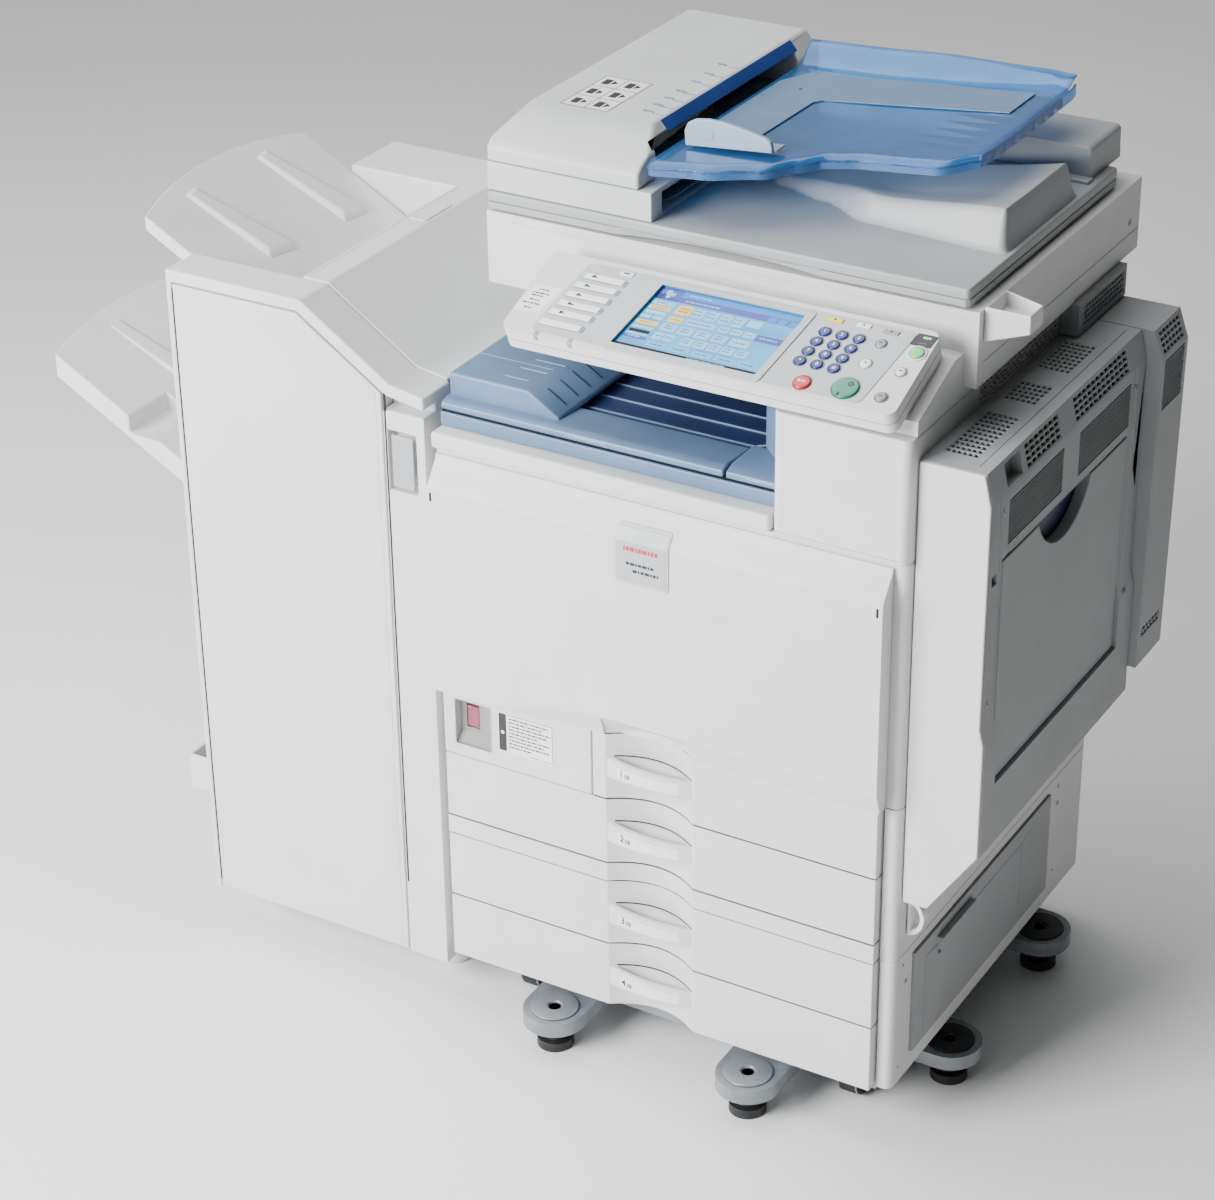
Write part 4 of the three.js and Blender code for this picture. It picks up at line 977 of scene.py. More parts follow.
def screen():
    """The touch display: a generic copy page of plain blocks, with no wording."""
    tile = lambda a, b, c, d, r=1.0: leaning(rounded(a, b, c, d, r, 3), 13)
    glass = panel_piece("display_glass", tile(127.5, 11.5, 299.5, 107.5), -3.4, -1.6, lcd_sky, 0)
    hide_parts("touch_screen")
    level = -1.6

    def tiles(name, boxes, material, lift=0.2, start=level):
        shapes = [prism("z", tile(*b), start - 0.1, start + lift) for b in boxes]
        piece(name, moved(together(*shapes), on_panel), "operation_panel", material, 0)

    tiles("display_header", [(130, 89, 298, 96.5), (130, 89, 156, 105.5), (131, 28, 159, 32)], lcd_blue)
    tiles("display_top_bar", [(156.5, 97, 298, 105.5)], lcd_sky_deep)
    tiles("display_footer", [(130, 13, 298, 18.5), (133, 37, 157, 41)], dark_and_painted_shade)
    side = [
        (132, 80, 158, 86), (132, 66, 158, 71), (132, 59, 144, 64), (146, 59, 158, 64),
        (132, 43, 158, 47), (132, 33, 158, 36)
    ]
    tiles("display_side_tiles", side, lcd_pale)
    tiles(
        "display_marks_yellow",
        [(132, 73, 158, 78.5), (132, 49.5, 158, 55.5), (163, 72, 181, 86), (163, 60, 180, 68)],
        lcd_yellow
    )
    top_tiles = [(183 + 15.5 * i, 72, 196 + 15.5 * i, 86) for i in range(4)] + [(246, 76, 262, 86)]
    tiles("display_paper_tiles", top_tiles, lcd_pale)
    middle = [(183, 61, 218, 69)] + [(221 + 15 * i, 61, 234 + 15 * i, 69) for i in range(3)]
    middle += [(163 + 20 * i, 46, 180 + 20 * i, 57) for i in range(4)] + [(244, 46, 266, 57)]
    middle += [(163 + 12.5 * i, 32.5, 174 + 12.5 * i, 43) for i in range(2)] + [
        (195 + 16 * i, 32.5, 209 + 16 * i, 43) for i in range(5)
    ]
    tiles("display_function_tiles", middle, lcd_pale)
    tiles("display_tabs", [(163 + 26.5 * i, 21, 187 + 26.5 * i, 28.5) for i in range(5)], lcd_tab)
    tiles("display_ratio", [(266, 59.5, 297, 68.5)], lcd_blue, 0.25)
    tiles(
        "display_counts", [(262 + 12.5 * i, 88, 272 + 12.5 * i, 95.5) for i in range(3)], lcd_sky_deep,
        0.35
    )

    lines = [(184 + 15.5 * i, v, 9) for i in range(4) for v in (76.5, 81.5)]
    lines += [(166, v, 12) for v in (76.5, 80.5)] + [
        (166, 63.5, 10), (186, 64.5, 28), (136, 75, 17), (136, 52, 17), (136, 82.5, 15)
    ]
    lines += [(223 + 15 * i, 64.5, 8) for i in range(3)] + [
        (166 + 20 * i, v, 10) for i in range(4) for v in (50, 53.5)
    ]
    lines += [(197 + 16 * i, v, 9) for i in range(5) for v in (36, 39.5)] + [
        (247, 51, 15), (166, 37.5, 7), (178, 37.5, 7)
    ]
    lines += [(167 + 26.5 * i, 24.5, 15) for i in range(5)]

    def lean_print(u, v, w):
        return on_panel(u + LEAN * (v - 13), v, level + 0.15 + w)

    piece("display_print", print_rows(lines, lean_print, 1.2), "operation_panel", lcd_ink, 0)
    pale = [(165, 100, 26), (165, 91.5, 40), (270, 63.5, 20), (137, 30, 14), (216, 15.5, 44)]
    piece("display_print_pale", print_rows(pale, lean_print, 1.6), "operation_panel", lcd_pale, 0)
    dots = [
        prism("z", leaning(disc(u, v, r, 14), 13), level, level + 0.4) for u, v,
        r in ((141, 99.5, 3.6), (147, 97.5, 2.6), (143, 93.5, 2.6))
    ]
    piece("display_sign", moved(together(*dots), on_panel), "operation_panel", lcd_pale, 0)


def function_keys():
    rows = [(78.3, 95), (76.7, 80.4), (74.7, 65.3), (72.2, 50.6), (69.4, 36.3), (65.9, 20)]
    for i, (u, v) in enumerate(rows):
        outer = leaning(rounded(u - 26.5, v - 4.9, u + 26.5, v + 4.3, 2), v)
        panel_piece(f"function_key_base_{i}", outer, 0.4, 1.7, key_grey, 0.4)
        top = leaning(rounded(u - 26, v - 3.6, u + 23.5, v + 4.2, 1.8), v)
        panel_piece(f"function_key_{i}", top, 0.9, 2.9, key_white, 0.7)
        lamp = leaning(rounded(u - 26.2, v - 3.4, u - 22.8, v + 4.0, 1), v)
        panel_piece(f"function_lamp_{i}", lamp, 2.0, 3.1, lamp_green if i == 0 else key_white, 0.2)
        if i < 5:
            sign = together(
                prism("z", leaning(rounded(u - 15, v - 1.6, u - 11, v + 2.2, 0.6), v), 2.8, 3.02),
                prism("z", leaning(rounded(u - 10.5, v - 1.6, u - 9 + i % 2, v + 0.6, 0.4), v), 2.8, 3.02),
            )
            piece(f"function_sign_{i}", moved(sign, on_panel), "operation_panel", ink_black, 0)
    panel_piece("login_key", leaning(rounded(90, 106.5, 106, 112.5, 1.6), 109.6), 0.6, 2.4, key_white, 0.6)
    panel_piece("login_sign", leaning(rounded(94, 108.4, 102, 110.4, 0.8), 109.6), 2.3, 2.55, ink_black, 0)

    # A name strip with generic print, on the panel's left shoulder
    strip_outer = leaning(rounded(-1, 29, 31, 71, 1.5), 50)
    strip = panel_piece("name_strip", [(u + 4, v) for u, v in strip_outer], 0.0, 0.25, label_white, 0)
    rows = [(10, 63, 12), (6, 57.5, 20), (7, 53.5, 16), (9, 47, 12), (4, 41.5, 22), (11, 34.5, 8)]
    strip_print = print_rows(rows, lambda u, v, w: on_panel(u + 2 + LEAN * (v - 50), v, 0.2 + w), 1.8)
    piece("name_strip_print", strip_print, "operation_panel", ink_black, 0)
    # Two lamps on the front lip, which wrap its edge
    for i, u in enumerate((43.7, 85)):
        lamp = moved(block(u - 3, u + 3, -0.5, 8, -7.5, 0.35), on_panel)
        piece(f"lip_lamp_{i}", lamp, "operation_panel", lamp_smoke, 1.2)


def number_pad():
    labels = ("1", "2", "3", "4", "5", "6", "7", "8", "9", "*", "0", "#")
    turn = Matrix.Rotation(PANEL_TILT, 3, "X")
    for i, label in enumerate(labels):
        u, v = number_key(i)
        profile = [(6.4, -3.2), (6.4, 1.5), (5.9, 2.2), (4.9, 2.6), (2.6, 2.75)]
        cap = piece(
            f"number_key_{i}", moved(turned("z", (u, v), profile, 24), on_panel), "number_keys",
            key_navy, 0
        )
        if i == 0:
            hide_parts("number_keys")
        ring = turned("z", (u, v), [(7.7, 0.5), (7.7, 1.3), (7.1, 1.3), (7.0, 0.5)], 24)
        piece(f"number_key_well_{i}", moved(ring, on_panel), "operation_panel", key_grey, 0)
        numeral(f"number_mark_{i}", label, 6.2, on_panel(u, v - 2.1, 2.72), turn, "number_keys", key_white)


def side_keys():
    for name, material in (("start", key_teal), ("stop", key_red)):
        u, v, r = KEYS[name]
        key_cap(f"{name}_cap", u, v, r, material, f"{name}_key", 3.4)
        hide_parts(f"{name}_key")
    u, v, r = KEYS["start"]
    diamond = [(u + 4.5 + du, v + 4.5 + dv) for du, dv in ((-4, 0), (0, -4), (4, 0), (0, 4))]
    inner = [(u + 4.5 + du, v + 4.5 + dv) for du, dv in ((-1.6, 0), (0, -1.6), (1.6, 0), (0, 1.6))]
    start_sign = together(
        prism("z", diamond, 3.3, 3.85),
        prism("z", rounded(u - 4.5, v - 13.2, u - 1.5, v - 8.5, 0.6), 2.0, 3.6),
    )
    piece("start_sign", moved(start_sign, on_panel), "start_key", ink_black, 0)
    piece("start_sign_core", moved(prism("z", inner, 3.7, 3.95), on_panel), "start_key", key_teal, 0)
    u, v, r = KEYS["stop"]
    marks = [
        rounded(u - 4.6, v - 1.2, u - 1.6, v + 1.8, 0.6),
        rounded(u - 0.4, v - 1.6, u + 0.4, v + 2.2, 0.3)
    ]
    marks.append([(u + 1.6, v + 1.8), (u + 1.6, v - 1.2), (u + 4.6, v + 0.3)])
    piece(
        "stop_sign", moved(together(*[prism("z", m, 3.4, 3.95) for m in marks]), on_panel), "stop_key",
        key_white, 0
    )
    key_cap("clear_cap", *KEYS["clear"], key_white)
    key_cap("check_cap", *KEYS["check"], key_grey)
    key_cap("sample_cap", 440.4, 59.4, 5.6, key_white)
    key_cap("settings_cap", 436, 21.4, 6.2, key_grey)
    small_signs = [
        (401, 60, 0.8, 2.6), (404.4, 90.3, 2.0, 1.4), (440.4, 59.4, 2.2, 1.4), (436, 21.4, 2.0, 1.6)
    ]
    signs = [
        prism("z", rounded(u - a, v - b / 2, u + a, v + b / 2, 0.4, 2), 2.8, 3.15) for u, v, a,
        b in small_signs
    ]
    piece("side_key_signs", moved(together(*signs), on_panel), "operation_panel", ink_black, 0)
    key_cap("power_cap", 445.1, 88.4, 8, key_green, "power_key", 3.0)
    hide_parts("power_key")
    power_ring = turned("z", (445.1, 88.4), [(10.6, 0), (10.6, 1.0), (9.2, 1.4), (8.6, 0.6)], 32)
    piece("power_key_ring", moved(power_ring, on_panel), "operation_panel", key_white, 0)
    for name, u, v, half, material in (
        ("memory_key", 344.3, 108.4, 9, key_yellow),
        ("reset_key", 376.7, 109.1, 8, key_white),
        ("saver_key", 408, 108, 8.5, key_grey),
    ):
        panel_piece(
            name, leaning(rounded(u - half, v - 2.9, u + half, v + 2.9, 1.4), v), 0.6, 2.4, material,
            0.6
        )
        panel_piece(name + "_sign", disc(u, v, 1.3, 12), 2.3, 2.6, ink_black, 0)
    panel_piece("status_window", leaning(rounded(433, 98.5, 456, 116, 1.2), 107), 0.0, 0.5, ink_black, 0.2)
    panel_piece("status_lamp", leaning(rounded(442, 109.5, 451, 112.5, 0.8), 111), 0.4, 0.75, lamp_green, 0)
    panel_piece("status_sign", leaning(rounded(440, 102, 449, 103.6, 0.5), 103), 0.4, 0.7, lamp_dark, 0)


# ---- Grilles, grooves and holes -------------------------------------------------------------------


def on_side(x):
    """Places (y, z, out) on a face that looks along +X at x."""
    return lambda u, v, w: (x + w, u, v)


def on_rear(y):
    """Places (x, z, out) on a face that looks along +Y at y."""
    return lambda u, v, w: (u, y + w, v)


def on_front(y):
    """Places (x, z, out) on a face that looks along -Y at y."""
    return lambda u, v, w: (u, y - w, v)


def on_top(z):
    """Places (x, y, out) on a face that looks up at z."""
    return lambda u, v, w: (u, v, z + w)


def on_slope(low, high):
    """Places (y, up the slope, out) on a face that climbs from low to high, each an (x, z)."""
    length = math.dist(low, high)
    dx, dz = (high[0] - low[0]) / length, (high[1] - low[1]) / length
    return lambda u, v, w: (low[0] + dx * v + dz * w, u, low[1] + dz * v - dx * w)


def flat_box(place, u0, u1, v0, v1, w0, w1):
    return moved(block(u0, u1, v0, v1, w0, w1), place)


def groove(place, path, width=0.9, depth=1.6):
    """A cutter for a narrow groove along a path of (u, v) points."""
    cuts = []
    for (u0, v0), (u1, v1) in zip(path, path[1:]):
        length = math.dist((u0, v0), (u1, v1))
        du, dv = (v1 - v0) / length * width / 2, (u0 - u1) / length * width / 2
        outline = [(u0 - du, v0 - dv), (u1 - du, v1 - dv), (u1 + du, v1 + dv), (u0 + du, v0 + dv)]
        cuts.append(moved(prism("z", outline, -depth, 1.0), place))
    return together(*cuts)


def grille(name, body, place, span, counts, bars, stagger=0.0, material=None):
    """Fills an opening with bars over a dark sheet of painted shade for its depth, and returns the cutter
    that makes the opening.

    span is (u0, u1, v0, v1), counts the columns and rows, bars the widths of the two sets of bars."""
    u0, u1, v0, v1 = span
    columns, rows = counts
    pitch_u, pitch_v = (u1 - u0) / columns, (v1 - v0) / rows
    lattice = []
    for r in range(rows + 1):
        v = v0 + pitch_v * r
        lattice.append(flat_box(place, u0 - 0.3, u1 + 0.3, v - bars[1] / 2, v + bars[1] / 2, -3.2, -0.3))
    for r in range(rows if columns > 1 else 0):
        v = v0 + pitch_v * r
        for c in range(columns + 1):
            u = min(u1, u0 + pitch_u * (c + stagger * (r % 2)))
            lattice.append(flat_box(place, u - bars[0] / 2, u + bars[0] / 2, v, v + pitch_v, -3.3, -0.5))
    piece(name + "_bars", together(*lattice), body, material or cover_white, 0)
    # The dark sheet behind the bars is painted shade for the opening's depth.
    piece(name + "_depth", flat_box(place, u0, u1, v0, v1, -4.9, -4.2), body, dark_and_painted_shade, 0)
    return flat_box(place, u0, u1, v0, v1, -5.0, 1.0)


def hole(name, place, u, v, radius, body):
    """A small round hole with a moulded rim, and a dark disc in it as painted shade for its depth."""
    rim = [(radius + 1.1, -0.4), (radius + 1.1, 0.3), (radius + 0.2, 0.5), (radius, 0.2)]
    piece(name + "_rim", moved(turned("z", (u, v), rim, 20), place), body, cover_white, 0)
    # The dark disc is painted shade for the hole's depth; no hole is cut.
    dark = turned("z", (u, v), [(radius, 0.1), (radius, 0.32)], 20)
    piece(name + "_dark", moved(dark, place), body, dark_and_painted_shade, 0)


# ---- Right side: duplex unit, hand-feed tray, air duct --------------------------------------------


def right_side():
    # The right side's covers and louvre bars are grey as painted shade for the side that faces away from the
    # light.
    side, shoulder, crown = on_side(372), on_slope((372, 826), (364, 860)), on_top(860)
    body = "duplex_unit"
    cuts = [
        grille("duplex_louvre_front", body, side, (70, 210, 763, 815), (1, 13), (0, 1.3), 0.0, side_painted_shade_grey),
        grille("duplex_louvre_rear", body, side, (252, 395, 762, 814), (1, 13), (0, 1.3), 0.0, side_painted_shade_grey),
        grille(
            "duplex_shoulder_front", body, shoulder, (116, 202, 3, 31), (7, 4), (1.5, 1.9), 0.0,
            side_painted_shade_grey
        ),
        grille(
            "duplex_shoulder_rear", body, shoulder, (242, 388, 3, 31), (12, 4), (1.5, 1.9), 0.0,
            side_painted_shade_grey
        ),
        flat_box(shoulder, 66, 104, 4, 30, -13, 1),
        flat_box(side, 66, 80, 726, 753, -9, 1),
        flat_box(side, 34, 46, 730, 742, -9, 1),
        groove(side, [(46, 826), (52, 752), (52, 567)]),
        groove(side, [(404, 826), (399, 752), (399, 567)]),
        groove(side, [(415, 826), (418, 700), (428, 673), (428, 567)]),
        groove(crown, [(350, 40), (350, 425)]),
    ]
    for i, (front, rear) in enumerate(((57, 165), (200, 250), (289, 368))):
        rows = round((rear - front) / 9.8)
        cuts.append(
            grille(
                f"duplex_top_slots_{i}", body, crown, (303, 340, front, rear), (6, rows), (2.2, 3.4),
                0.0, side_painted_shade_grey
            )
        )
    carved("duplex_cover", "duplex_unit", side_painted_shade_grey, together(*cuts), 2.4, 3)
    piece("duplex_latch_inner", flat_box(side, 67, 79, 727, 740, -8.9, -4), body, dark_and_painted_shade, 0.4)
    piece("duplex_latch_outer", flat_box(side, 35, 45, 730.5, 735, -8.9, -3), body, dark_and_painted_shade, 0.4)
    pocket = [
        (127, 748.6), (303, 748.6), (303, 742), (270, 722), (250, 705), (196, 702), (150, 722),
        (127, 742)
    ]
    piece("hand_feed_pocket", prism("x", pocket, 357.3, 358.6), body, rack_navy, 0.3)
    for i, (y, z) in enumerate(((58, 806), (408, 803), (408, 549))):
        screw_head(f"duplex_screw_{i}", "x", (y, z), 372 if z > 566 else 377, 1, body)
    screw_head("duplex_screw_low", "x", (38.6, 590.7), 372, 1, body)
    front = [
        (291, 326), (320, 326), (376, 409), (376, 548), (371.4, 566), (371.4, 825), (363.6, 859),
        (291, 859)
    ]
    piece("duplex_front_skin", prism("y", front, 23.6, 27.4), body, cover_white, 2.6, 4)

    finish_node("bypass_tray", side_painted_shade_grey, 1.6)
    piece("bypass_dashes", together(
        *[flat_box(on_side(373), 384, 384.7, z, z + 5, -0.2, 0.15) for z in range(492, 744, 9)],
        *[flat_box(on_side(373), y, y + 5, 491, 491.7, -0.2, 0.15) for y in range(66, 380, 9)],
    ), "bypass_tray", cover_grey, 0)

    top = on_slope((390.3, 826), (378.3, 860))
    leaning_side = lambda u, v, w: (386.3 + (v - 438) * 4 / 388 + w, u, v)
    duct_cuts = [
        grille("duct_shoulder", "main_unit", top, (446, 505, 4, 32), (6, 4), (1.8, 2.0), 0.0, side_painted_shade_grey),
        grille(
            "duct_louvre", "main_unit", leaning_side, (446, 505, 762, 824), (1, 15), (0, 1.3), 0.0,
            side_painted_shade_grey
        ),
        grille(
            "duct_low", "main_unit", leaning_side, (446, 500, 474, 487), (6, 2), (1.8, 2.0), 0.5,
            side_painted_shade_grey
        ),
        grille(
            "duct_hump", "main_unit", on_side(313), (392, 505, 868, 894), (14, 4), (1.8, 2.0), 0.5,
            side_painted_shade_grey
        ),
        groove(leaning_side, [(441, 826), (441, 440)]),
    ]
    carved("duct_cover", "exhaust_duct", side_painted_shade_grey, together(*duct_cuts), 2.2, 3)
    finish_node("side_bin", cover_white, 1.6)
    finish_node("duplex_lever", key_white, 1.4)


# ---- Paper bank cabinet, side door and feet -------------------------------------------------------


def cabinet_sides():
    door = on_side(293)
    frame_line = [(89, 106), (89, 214), (355, 214), (355, 106)]
    # The bank's side door is grey as painted shade, like the other right-side covers.
    carved("bank_door_panel", "bank_side_door", side_painted_shade_grey, groove(door, frame_line, 1.2, 1.2), 1.6)
    wall = on_side(290)
    for i, (y, z, radius) in enumerate(
        ((467, 232, 2), (418, 154, 1.6), (463, 113, 1.6), (35, 235, 1.8), (31, 99, 1.6))
    ):
        hole(f"bank_hole_{i}", wall, y, z, radius, "main_unit")
    for i, (y, z) in enumerate(((44, 209), (467, 208))):
        screw_head(f"bank_screw_{i}", "x", (y, z), 290, 1, "main_unit", 2.6)
    for i, (y, z) in enumerate(((36, 486), (467, 300), (467, 410))):
        hole(f"housing_hole_{i}", wall, y, z, 1.6, "main_unit")
    piece("bank_seam", flat_box(wall, 30, 540, 249.2, 249.7, -1, 0.1), "main_unit", dark_and_painted_shade, 0)
    finish_node("bank_cabinet", cover_white, 2.0)
    finish_node("tray_housing", cover_white, 0.6, 2, merged=False)
    arms = ((-139, -4.6), (119.5, -4.6), (293.8, 167), (293.8, 427))
    finish_node("base_frame", cast_silver, 3.2)
    for i, centre in enumerate(arms):
        profile = [(29, 51.4), (29, 53.0), (27.4, 54.0), (10, 54.0), (8.4, 53.2), (8.4, 51.4)]
        finish = cast_silver if i < 2 else nylon_black
        piece(f"foot_pad_{i + 1}", turned("z", centre, profile, 40), "main_unit", finish, 0)
        finish_node(f"foot_screw_{i + 1}", nylon_black, 1.2)
        hexagon = disc(*centre, 5.6, 6)
        piece(f"foot_hex_{i + 1}", prism("z", hexagon, 44, 50.2), f"foot_screw_{i + 1}", steel, 0.6)
    for i, x in enumerate((-230, 200)):
        for j, y in enumerate((90, 461)):
            tyre = [(22, x - 0.6), (25, x - 0.4), (26, x + 2), (26, x + 22), (25, x + 24.4), (22, x + 24.6)]
            piece(f"caster_tyre_{i}{j}", turned("x", (y, 26), tyre, 40), "main_unit", rubber, 0)
            fork = [(y - 16, 26), (y + 16, 26), (y + 22, 50), (y - 22, 50)]
            both = together(prism("x", fork, x - 4.2, x - 1.2), prism("x", fork, x + 25.2, x + 28.2))
            piece(f"caster_fork_{i}{j}", both, "main_unit", steel, 0.5)


# ---- Scanner, platen cover and feeder -------------------------------------------------------------


def level(value, stops):
    """Smooth reading of (position, level) stops at value."""
    if value <= stops[0][0]:
        return stops[0][1]
    for (a, low), (b, high) in zip(stops, stops[1:]):
        if value <= b:
            return low + (high - low) * eased(value, a, b)
    return stops[-1][1]


RIDGE_HEIGHT = ((-40, 0), (0, 7), (60, 16), (126, 27), (280, 42))
RIDGE_LINE = ((-40, 325), (0, 303), (60, 286), (126, 253), (280, 245))


def output_bed(x, y):
    """Height of the platen cover's output bed over its flat plate."""
    bed = 1.5 + 40 * max(0.0, (x + 60) / 340) ** 2
    crest, ridge = level(x, RIDGE_HEIGHT), level(x, RIDGE_LINE)
    wall = eased(y, ridge - 17 - crest * 0.1, ridge)
    dish = bed + max(0.0, crest - bed) * (1 - eased(y, ridge, ridge + 62))
    rear = 1 - eased(y, 398, 420)
    right = 1 - eased(x, 278, 288.5)
    left = eased(x, -66, -30)
    return dish * wall * rear * right * left


def scanner():
    cuts = [
        groove(on_side(305), [(140, 925), (560, 925)], 1.0),
        groove(on_front(126), [(-280, 975), (303, 975)], 0.8, 1.2),
    ]
    carved("scanner_shell", "scanner_housing", cover_white, together(*cuts), 2.4, 3)
    screw_head("scanner_screw", "x", (531.8, 939.5), 305, 1, "main_unit")
    finish_node("exposure_glass", platen_glass, 0.4)
    finish_node("scan_carriage", nylon_black, 1.2)
    strip = block(-222, 216, 170, 182, 984.4, 985.0)
    piece("platen_scale", strip, "main_unit", label_white, 0)
    marks = [
        block(x, x + 0.5, 176 if i % 5 else 172, 181.5, 984.9, 985.1) for i,
        x in enumerate(range(-218, 214, 9))
    ]
    piece("platen_scale_marks", together(*marks), "main_unit", ink_black, 0)


def platen_cover():
    body = "platen_cover"
    front = arc((-120, 123), (128, 123), -14, 14)
    outline = [
        (-281, 127), (-277, 123), *front, (290, 123), (294, 127), (294, 511), (290, 515), (-277, 515),
        (-281, 511)
    ]
    # The platen cover's skins, output bed and hinge hood are grey as painted shade for its upward faces.
    lower = prism("z", outline, 988.6, 996.5)
    upper = prism("z", rounded(-281, 123, 294, 515, 5), 996.5, 1008.5)
    plate = piece("lid_lower_skin", lower, body, lid_painted_shade_grey, 1.0, 2)
    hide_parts("platen_cover")
    piece("lid_upper_skin", upper, body, lid_painted_shade_grey, 2.6, 4)
    us = sorted({*steps(-68, 268, 42), *steps(268, 289, 8)})
    vs = sorted({*steps(214, 262, 24), *steps(262, 392, 24), *steps(392, 424, 10)})
    bed = field(us, vs, lambda u, v: (u, v, 1008.2 + output_bed(u, v)), lambda u, v: (u, v, 1007.2))
    piece("output_bed", bed, body, lid_painted_shade_grey, 0)
    block_face = [(112, 1007), (196, 1043), (204, 1046.5), (278, 1046.5), (282, 1043), (283, 1007)]
    piece("hinge_hood", prism("y", block_face, 462, 548), body, lid_painted_shade_grey, 3.0, 4)
    piece("hinge_step", block(112, 286, 448, 462.5, 1007.5, 1012.5), body, lid_painted_shade_grey, 1.6, 3)
    for i, x in enumerate((-241, 194)):
        piece(f"hinge_arm_{i}", block(x, x + 50, 514, 540, 988.6, 1005.4), body, cover_grey, 1.6, 3)
    piece("platen_pad", block(-224, 218, 186, 492, 986.6, 988.8), body, label_white, 0.6)


def feeder():
    cover = "feeder_cover"
    # The feeder's greyer ABS is partly painted shade for its upward faces.
    finish_node("feeder_cover", cover_pale, 3.6, 4)
    finish_node("feeder_body", cover_pale, 2.6, 4)
    slope = lambda u, v, w: (-110 + 0.651 * v + 0.759 * w, u, 1093.5 - 0.759 * v + 0.651 * w)
    piece("size_strip", flat_box(slope, 205, 505, 1.5, 16, -0.2, 0.35), cover, ink_blue, 0)
    ticks, signs = [], []
    for i, y in enumerate((216, 238, 262, 288, 322, 352, 386)):
        ticks.append(block(-112.5 - 12 - 6 * (i % 2), -112.5, y, y + 0.9, 1093.4, 1093.75))
        for row in range(2):
            x = -138 - 2.4 * row
            signs.append((x, y + 2.4 + 3.0 * row, 13))
    piece("size_ticks", together(*ticks), cover, ink_blue, 0)
    piece("size_signs", print_rows(signs, on_top(1093.55), 1.5), cover, ink_blue, 0)
    label = flat_box(on_top(1093.4), -229, -171, 197, 297, 0, 0.25)
    piece("feeder_label", label, cover, label_white, 0)
    lines = [
        flat_box(on_top(1093.5), -229 + 29 * i - 0.4, -229 + 29 * i + 0.4, 197, 297, 0.1, 0.35)
        for i in range(3)
    ]
    lines += [
        flat_box(on_top(1093.5), -229, -171, 197 + 33.3 * i - 0.4, 197.4 + 33.3 * i, 0.1, 0.35)
        for i in range(4)
    ]
    for i in range(6):
        x, y = -225 + 29 * (i % 2), 201 + 33.3 * (i // 2)
        lines.append(flat_box(on_top(1093.5), x + 2, x + 11, y + 4, y + 20, 0.1, 0.35))
        tip = [(x + 13, y + 6), (x + 20, y + 12), (x + 13, y + 18)]
        lines.append(prism("z", tip, 1093.6, 1093.85))
    piece("feeder_label_signs", together(*lines), cover, ink_black, 0)
    # Dark liners in the feeder's throat and under its right end: painted shade for the shadowed openings.
    throat = together(
        block(-145.6, -144.4, 167, 497, 1043, 1080), block(-145.6, -112, 167, 497, 1078.9, 1080.2)
    )
    piece("feeder_throat_painted_shade", throat, cover, dark_and_painted_shade, 0)
    mouth = together(
        block(-195.6, -194.4, 151, 487, 1012.4, 1035), block(-195.6, -77, 151, 487, 1034.2, 1035.3)
    )
    piece("feeder_mouth_painted_shade", mouth, "platen_cover", dark_and_painted_shade, 0)
    guide = prism(
        "y", [(-194, 1013), (-90, 1013), (-78, 1019), (-78, 1020), (-92, 1015), (-194, 1016)], 175, 465
    )
    piece("exit_guide", guide, "platen_cover", cover_pale, 0.2)
    finish_node("pickup_roller", rubber, 0.8)
    for i, y in enumerate((277, 337)):
        hub = turned("y", (-126, 1061.9), [(5, y - 5 if not i else y), (5, y if not i else y + 5)], 20)
        piece(f"pickup_hub_{i}", hub, "pickup_roller", nylon_black, 0.3)


def tray_level(x):
    """Height of the original tray's upper face along its length."""
    t = (x + 88) / 336
    return 1069.9 + 26.6 * t - 10 * t * (1 - t)


TRAY_FRONT = ((-89, 140), (-29, 147), (32, 168), (60, 199), (80, 222), (120, 231), (205, 232), (240, 262))
TRAY_REAR = ((-89, 522), (20, 519), (120, 520), (205, 522), (240, 512))


